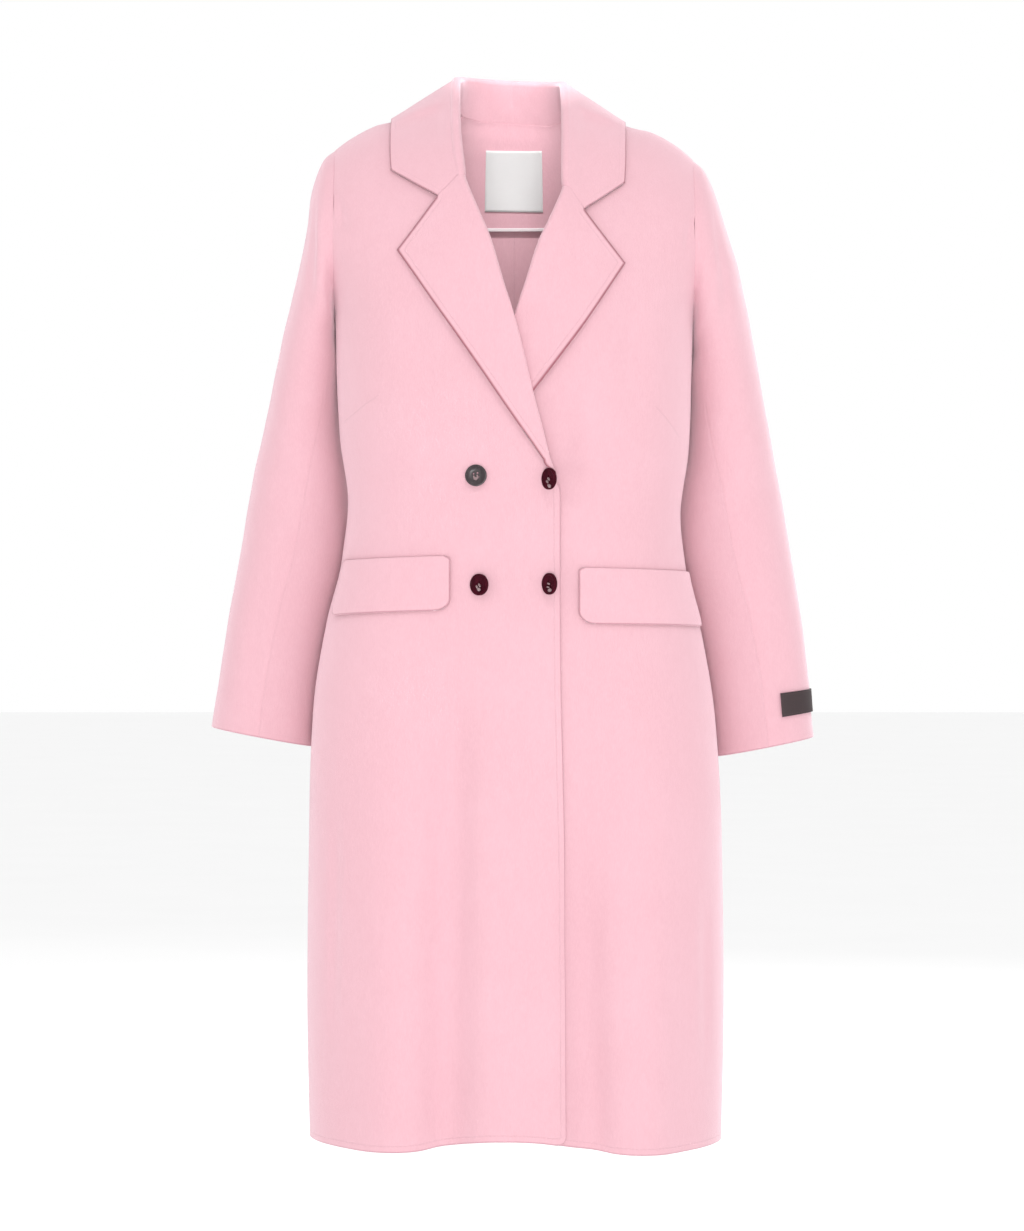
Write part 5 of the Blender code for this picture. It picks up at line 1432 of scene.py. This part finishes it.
def horn_finish(number):
    """Polished dark horn with faint streaks; the first button, which faces the camera, gets a paler copy of the horn
    that paints the reflection of the lamps in its face.
    """
    colours = bpy.context.scene.coat_colours
    n = Nodes("horn_%d" % (number + 1))
    place = n.add("ShaderNodeTexCoord").outputs["Object"]
    streak = n.noise(place, 160.0, 4.0, 0.6, (1.0, 1.0, 0.3))
    speck = n.noise(place, 1500.0, 2.0, 0.5)
    facing_camera = number == 0
    # The button that faces the camera takes the paler horn of its painted reflection
    horn = PAINTED_REFLECTION_HORN if facing_camera else colours.horn
    colour = n.mix(n.above(streak, 0.40, 2.2), tint(horn, 0.5), tint(horn, 1.2))
    colour = n.mix(n.above(speck, 0.62, 3.0), colour, tint(horn, 2.0))
    n.join(colour, n.shader.inputs["Base Color"])
    n.join(n.math("ADD", 0.24, n.math("MULTIPLY", streak, 0.18)), n.shader.inputs["Roughness"])
    n.join(n.bump(speck, 0.12, 0.0001), n.shader.inputs["Normal"])
    n.shader.inputs["Specular IOR Level"].default_value = 0.22 if facing_camera else 0.03
    n.shader.inputs["Coat Weight"].default_value = 0.06 if facing_camera else 0.0
    n.shader.inputs["Coat Roughness"].default_value = 0.12
    return n.material


def thread_finish():
    """Twisted sewing thread, one material for all the buttons."""
    found = bpy.data.materials.get("sewing_thread")
    if found:
        return found
    colours = bpy.context.scene.coat_colours
    n = Nodes("sewing_thread")
    place = n.add("ShaderNodeTexCoord").outputs["Object"]
    ply = n.noise(place, 2600.0, 2.0, 0.6, (1.0, 0.35, 1.0))
    n.join(n.mix(ply, tint(colours.thread, 0.6), colours.thread), n.shader.inputs["Base Color"])
    n.join(n.bump(ply, 0.6, 0.0002), n.shader.inputs["Normal"])
    n.shader.inputs["Roughness"].default_value = 0.6
    return n.material


def satin_finish(name, colour):
    """Pale satin: fine crosswise threads with a soft shine, and a line of stitches near the edge."""
    n = Nodes(name)
    place = n.add("ShaderNodeTexCoord").outputs["Object"]
    weave = n.noise(place, 2000.0, 2.0, 0.5, (0.08, 0.3, 1.0))
    slub = n.noise(place, 60.0, 2.0, 0.5, (0.3, 1.0, 1.0))
    edge, along = n.attribute("edge"), n.attribute("along")
    line = n.near(edge, 0.0018, 0.0005)
    dash = n.dashes(along, 0.0024, 0.35)
    stitch = n.math("MULTIPLY", line, dash)
    even = n.math("ADD", n.math("MULTIPLY", weave, 0.5), n.math("MULTIPLY", slub, 0.5))
    shade = n.mix(even, tint(colour, 0.93), tint(colour, 1.03))
    n.join(n.mix(n.math("MULTIPLY", stitch, 0.35), shade, tint(colour, 0.78)), n.shader.inputs["Base Color"])
    n.join(n.bump(n.math("ADD", weave, n.math("MULTIPLY", stitch, 2.0)), 0.3, 0.0002), n.shader.inputs["Normal"])
    n.join(n.math("ADD", 0.36, n.math("MULTIPLY", slub, 0.2)), n.shader.inputs["Roughness"])
    n.shader.inputs["Sheen Weight"].default_value = 0.15
    return n.material


def tape_finish():
    """Dark woven tape: fine ribs and a line of pale stitches near its edge."""
    colours = bpy.context.scene.coat_colours
    n = Nodes("cuff_tape")
    cloth = n.add("ShaderNodeUVMap", uv_map="cloth").outputs["UV"]
    rib = n.add("ShaderNodeTexWave", wave_type="BANDS", bands_direction="Y")
    rib.inputs["Scale"].default_value = 420.0
    rib.inputs["Distortion"].default_value = 0.6
    n.join(cloth, rib.inputs["Vector"])
    slub = n.noise(cloth, 900.0, 2.0, 0.6, (0.3, 1.0, 1.0))
    edge, along = n.attribute("edge"), n.attribute("along")
    line = n.near(edge, 0.0020, 0.0005)
    dash = n.dashes(along, 0.0030, 0.35)
    stitch = n.math("MULTIPLY", line, dash)
    weave = n.math("ADD", n.math("MULTIPLY", rib.outputs["Fac"], 0.6), n.math("MULTIPLY", slub, 0.4))
    colour = n.mix(weave, tint(colours.tape, 0.55), tint(colours.tape, 1.5))
    n.join(n.mix(n.math("MULTIPLY", stitch, 0.5), colour, tint(colours.tape, 2.6)), n.shader.inputs["Base Color"])
    n.join(n.bump(n.math("ADD", weave, stitch), 0.5, 0.0003), n.shader.inputs["Normal"])
    n.shader.inputs["Roughness"].default_value = 0.7
    return n.material


def floor_finish():
    """Pale matt floor."""
    n = Nodes("studio_floor")
    place = n.add("ShaderNodeTexCoord").outputs["Object"]
    grain = n.noise(place, 3.0, 3.0, 0.5)
    colour = bpy.context.scene.coat_colours.floor
    n.join(n.mix(grain, tint(colour, 0.985), tint(colour, 1.01)), n.shader.inputs["Base Color"])
    n.shader.inputs["Roughness"].default_value = 0.9
    n.shader.inputs["Specular IOR Level"].default_value = 0.1
    return n.material


length_property = partial(bpy.props.FloatProperty, subtype="DISTANCE", unit="LENGTH")
colour_property = partial(bpy.props.FloatVectorProperty, size=3, min=0.0, max=1.0, subtype="COLOR")
power_property = partial(bpy.props.FloatProperty, min=0.0, unit="POWER")


class CoatSizes(bpy.types.PropertyGroup):
    """Sizes of the coat's cloth and buttons."""

    cloth: length_property(name="Cloth", description="Thickness of the wool",
                           default=0.0024, min=0.001, max=0.003, precision=4)
    seam_dip: length_property(name="Seam dip", description="How far a sewn edge sinks",
                              default=0.00025, min=0.0, max=0.002, precision=4)
    edge_roundness: bpy.props.FloatProperty(name="Edge roundness",
                                            description="Rounding of a free edge, as a share of the cloth",
                                            default=0.30, min=0.0, max=0.5, subtype="FACTOR")
    stitch_inset: length_property(name="Stitch inset", description="Distance of the edge stitching from the edge",
                                  default=0.0070, min=0.003, max=0.012, precision=4)
    fold_strength: bpy.props.FloatProperty(name="Fold strength", description="Depth of the folds against their table",
                                           default=1.35, min=0.0, max=2.0, subtype="FACTOR")
    front_columns: bpy.props.IntProperty(name="Front columns", description="Rows of points across a front",
                                         default=74, min=20, max=140)
    back_columns: bpy.props.IntProperty(name="Back columns", description="Rows of points across half a back",
                                        default=48, min=16, max=90)
    lapel_columns: bpy.props.IntProperty(name="Lapel columns", description="Rows of points across a lapel",
                                         default=31, min=10, max=60)
    sleeve_rows: bpy.props.IntProperty(name="Sleeve rows", description="Rows of points down a sleeve",
                                       default=140, min=40, max=240)
    button_radius: length_property(name="Button radius", description="Half the button's width",
                                   default=0.0112, min=0.008, max=0.016, precision=4)
    button_height: length_property(name="Button height", description="Thickness of a button",
                                   default=0.0034, min=0.002, max=0.005, precision=4)


class CoatColours(bpy.types.PropertyGroup):
    """Colours of the coat and its stage."""

    wool: colour_property(name="Wool", description="Lit side of the nap", default=(0.634, 0.380, 0.430))
    wool_shade: colour_property(name="Wool shade", description="Deeper tone between the fibres",
                                default=(0.609, 0.349, 0.395))
    horn: colour_property(name="Horn", description="Dark burgundy of the buttons", default=(0.060, 0.006, 0.014))
    thread: colour_property(name="Thread", description="Sewing thread of the buttons", default=(0.30, 0.20, 0.21))
    tape: colour_property(name="Tape", description="Woven label at the cuff", default=(0.030, 0.016, 0.018))
    floor: colour_property(name="Floor", description="Pale studio floor", default=(0.93, 0.93, 0.93))


class StudioSettings(bpy.types.PropertyGroup):
    """Light and view of the studio."""

    key: power_property(name="Key light", description="Power of the large light in front", default=55.0)
    fill: power_property(name="Fill light", description="Power of the light beside the camera", default=28.0)
    low: power_property(name="Low light", description="Power of the light from the floor's height", default=116.0)
    neck: power_property(name="Neck light", description="Power of the small light into the neck", default=11.5)
    sky: bpy.props.FloatProperty(name="Sky", description="Strength of the even white light", default=1.0, min=0.0)
    distance: length_property(name="Camera distance", description="From the coat's middle to the camera",
                              default=4.0, min=1.0)
    floor_z: length_property(name="Floor height", description="Height of the floor", default=-1.42)


class COAT_OT_fronts(bpy.types.Operator):
    """Makes both fronts with their lapels"""

    bl_idname = "coat.fronts"
    bl_label = "Fronts and lapels"

    def execute(self, context):
        right, left = make_front("front_right", -1), make_front("front_left", 1)
        return {"FINISHED"}


class COAT_OT_backs(bpy.types.Operator):
    """Makes the two halves of the back"""

    bl_idname = "coat.backs"
    bl_label = "Backs"

    def execute(self, context):
        for name, side in (("back_right", -1), ("back_left", 1)):
            make_back(name, side)
        return {"FINISHED"}


class COAT_OT_sleeves(bpy.types.Operator):
    """Makes the top and under sleeves"""

    bl_idname = "coat.sleeves"
    bl_label = "Sleeves"

    def execute(self, context):
        for side, word in ((-1, "right"), (1, "left")):
            top = make_sleeve_piece("sleeve_top_" + word, side, True)
            under = make_sleeve_piece("sleeve_under_" + word, side, False)
        return {"FINISHED"}


class COAT_OT_collar(bpy.types.Operator):
    """Makes the collar's stand and fall"""

    bl_idname = "coat.collar"
    bl_label = "Collar"

    def execute(self, context):
        make_collar()
        return {"FINISHED"}


class COAT_OT_facing(bpy.types.Operator):
    """Makes the back-neck facing and its binding"""

    bl_idname = "coat.facing"
    bl_label = "Back-neck facing"

    def execute(self, context):
        piece, binding = make_facing()
        return {"FINISHED"}


class COAT_OT_flaps(bpy.types.Operator):
    """Makes both pocket flaps"""

    bl_idname = "coat.flaps"
    bl_label = "Pocket flaps"

    def execute(self, context):
        for flap in FLAPS:
            make_flap(flap)
        return {"FINISHED"}


class COAT_OT_buttons(bpy.types.Operator):
    """Makes the four buttons with their thread"""

    bl_idname = "coat.buttons"
    bl_label = "Buttons"

    def execute(self, context):
        make_buttons()
        return {"FINISHED"}


class COAT_OT_labels(bpy.types.Operator):
    """Makes the blank neck and cuff labels"""

    bl_idname = "coat.labels"
    bl_label = "Labels"

    def execute(self, context):
        neck, cuff = make_labels()
        return {"FINISHED"}


# The studio's round lamps and the spot into the neck, with the setting that each takes its power from
Lamp = namedtuple("Lamp", "name kind place aim size setting share")
LAMPS = (
    Lamp("key_light", "AREA", (0.9, -4.5, 4.2), (0.0, 0.0, -0.4), 1.3, "key", 1.0),
    Lamp("front_light", "AREA", (0.3, -4.8, -0.5), (0.0, 0.0, -0.55), 1.8, "fill", 1.0),
    Lamp("low_light", "AREA", (0.0, -4.2, -1.38), (0.0, 0.0, -0.6), 1.2, "low", 1.0),
    Lamp("neck_light", "SPOT", (0.0, -0.28, 0.31), (0.0, 0.11, -0.10), 0.02, "neck", 1.0),
    Lamp("back_light", "AREA", (1.7, 3.8, 1.6), (0.0, 0.0, -0.5), 1.6, "key", 1.3),
)
SPOT_ANGLE, SPOT_BLEND = 18.0, 0.30


def add_lamp(lamp, studio):
    """A lamp of the table at its place, turned to what it lights."""
    data = bpy.data.lights.new(lamp.name, lamp.kind)
    data.energy = getattr(studio, lamp.setting) * lamp.share
    if lamp.kind == "SPOT":
        data.spot_size, data.spot_blend, data.shadow_soft_size = math.radians(SPOT_ANGLE), SPOT_BLEND, lamp.size
    else:
        data.shape, data.size = "DISK", lamp.size
    made = bpy.data.objects.new(lamp.name, data)
    made.location = lamp.place
    made.rotation_euler = (Vector(lamp.aim) - Vector(lamp.place)).to_track_quat("-Z", "Y").to_euler()
    bpy.context.scene.collection.objects.link(made)


class COAT_OT_stage(bpy.types.Operator):
    """Makes the floor, the lights and the camera"""

    bl_idname = "coat.stage"
    bl_label = "Studio"

    def execute(self, context):
        scene, studio = context.scene, context.scene.coat_studio
        clear_selection()
        bpy.ops.mesh.primitive_grid_add(x_subdivisions=20, y_subdivisions=20, size=60.0,
                                        location=(0, 0, studio.floor_z))
        floor = context.object
        floor.name = "studio_floor"
        floor.data.materials.append(floor_finish())
        bpy.ops.object.transform_apply(location=True)
        for lamp in LAMPS:
            add_lamp(lamp, studio)
        world = bpy.data.worlds.new("studio_sky")
        world.use_nodes = True
        background = world.node_tree.nodes["Background"]
        background.inputs["Color"].default_value = (1.0, 1.0, 1.0, 1.0)
        background.inputs["Strength"].default_value = studio.sky
        scene.world = world
        lens = bpy.data.cameras.new("studio_camera")
        lens.sensor_fit, lens.sensor_height = "VERTICAL", SENSOR
        lens.lens = SENSOR * studio.distance / (FRAME_ROWS * FRAME_SCALE)
        camera = bpy.data.objects.new("studio_camera", lens)
        camera.location = (CAMERA_X, -studio.distance, CAMERA_Z)
        camera.rotation_euler = (math.pi / 2, 0, 0)
        scene.collection.objects.link(camera)
        scene.camera = camera
        scene.view_settings.view_transform = "Standard"
        return {"FINISHED"}


class COAT_PT_panel(bpy.types.Panel):
    """Sizes, colours and the steps that make the coat"""

    bl_label = "Double-breasted coat"
    bl_idname = "COAT_PT_panel"
    bl_space_type = "VIEW_3D"
    bl_region_type = "UI"
    bl_category = "Coat"

    def draw(self, context):
        layout = self.layout
        for step in STEPS:
            layout.operator(step.bl_idname)
        for group in (context.scene.coat_sizes, context.scene.coat_colours, context.scene.coat_studio):
            box = layout.box()
            for name in group.__annotations__:
                box.prop(group, name)


STEPS = (COAT_OT_stage, COAT_OT_fronts, COAT_OT_backs, COAT_OT_sleeves, COAT_OT_collar, COAT_OT_facing,
         COAT_OT_flaps, COAT_OT_buttons, COAT_OT_labels)
CLASSES = (CoatSizes, CoatColours, StudioSettings) + STEPS + (COAT_PT_panel,)


def register():
    for item in CLASSES:
        bpy.utils.register_class(item)
    bpy.types.Scene.coat_sizes = bpy.props.PointerProperty(type=CoatSizes)
    bpy.types.Scene.coat_colours = bpy.props.PointerProperty(type=CoatColours)
    bpy.types.Scene.coat_studio = bpy.props.PointerProperty(type=StudioSettings)


def unregister():
    del bpy.types.Scene.coat_studio
    del bpy.types.Scene.coat_colours
    del bpy.types.Scene.coat_sizes
    for item in reversed(CLASSES):
        bpy.utils.unregister_class(item)


def main():
    register()
    clear_selection()
    for step in STEPS:
        group, name = step.bl_idname.split(".")
        getattr(getattr(bpy.ops, group), name)()


if __name__ == "__main__":
    main()
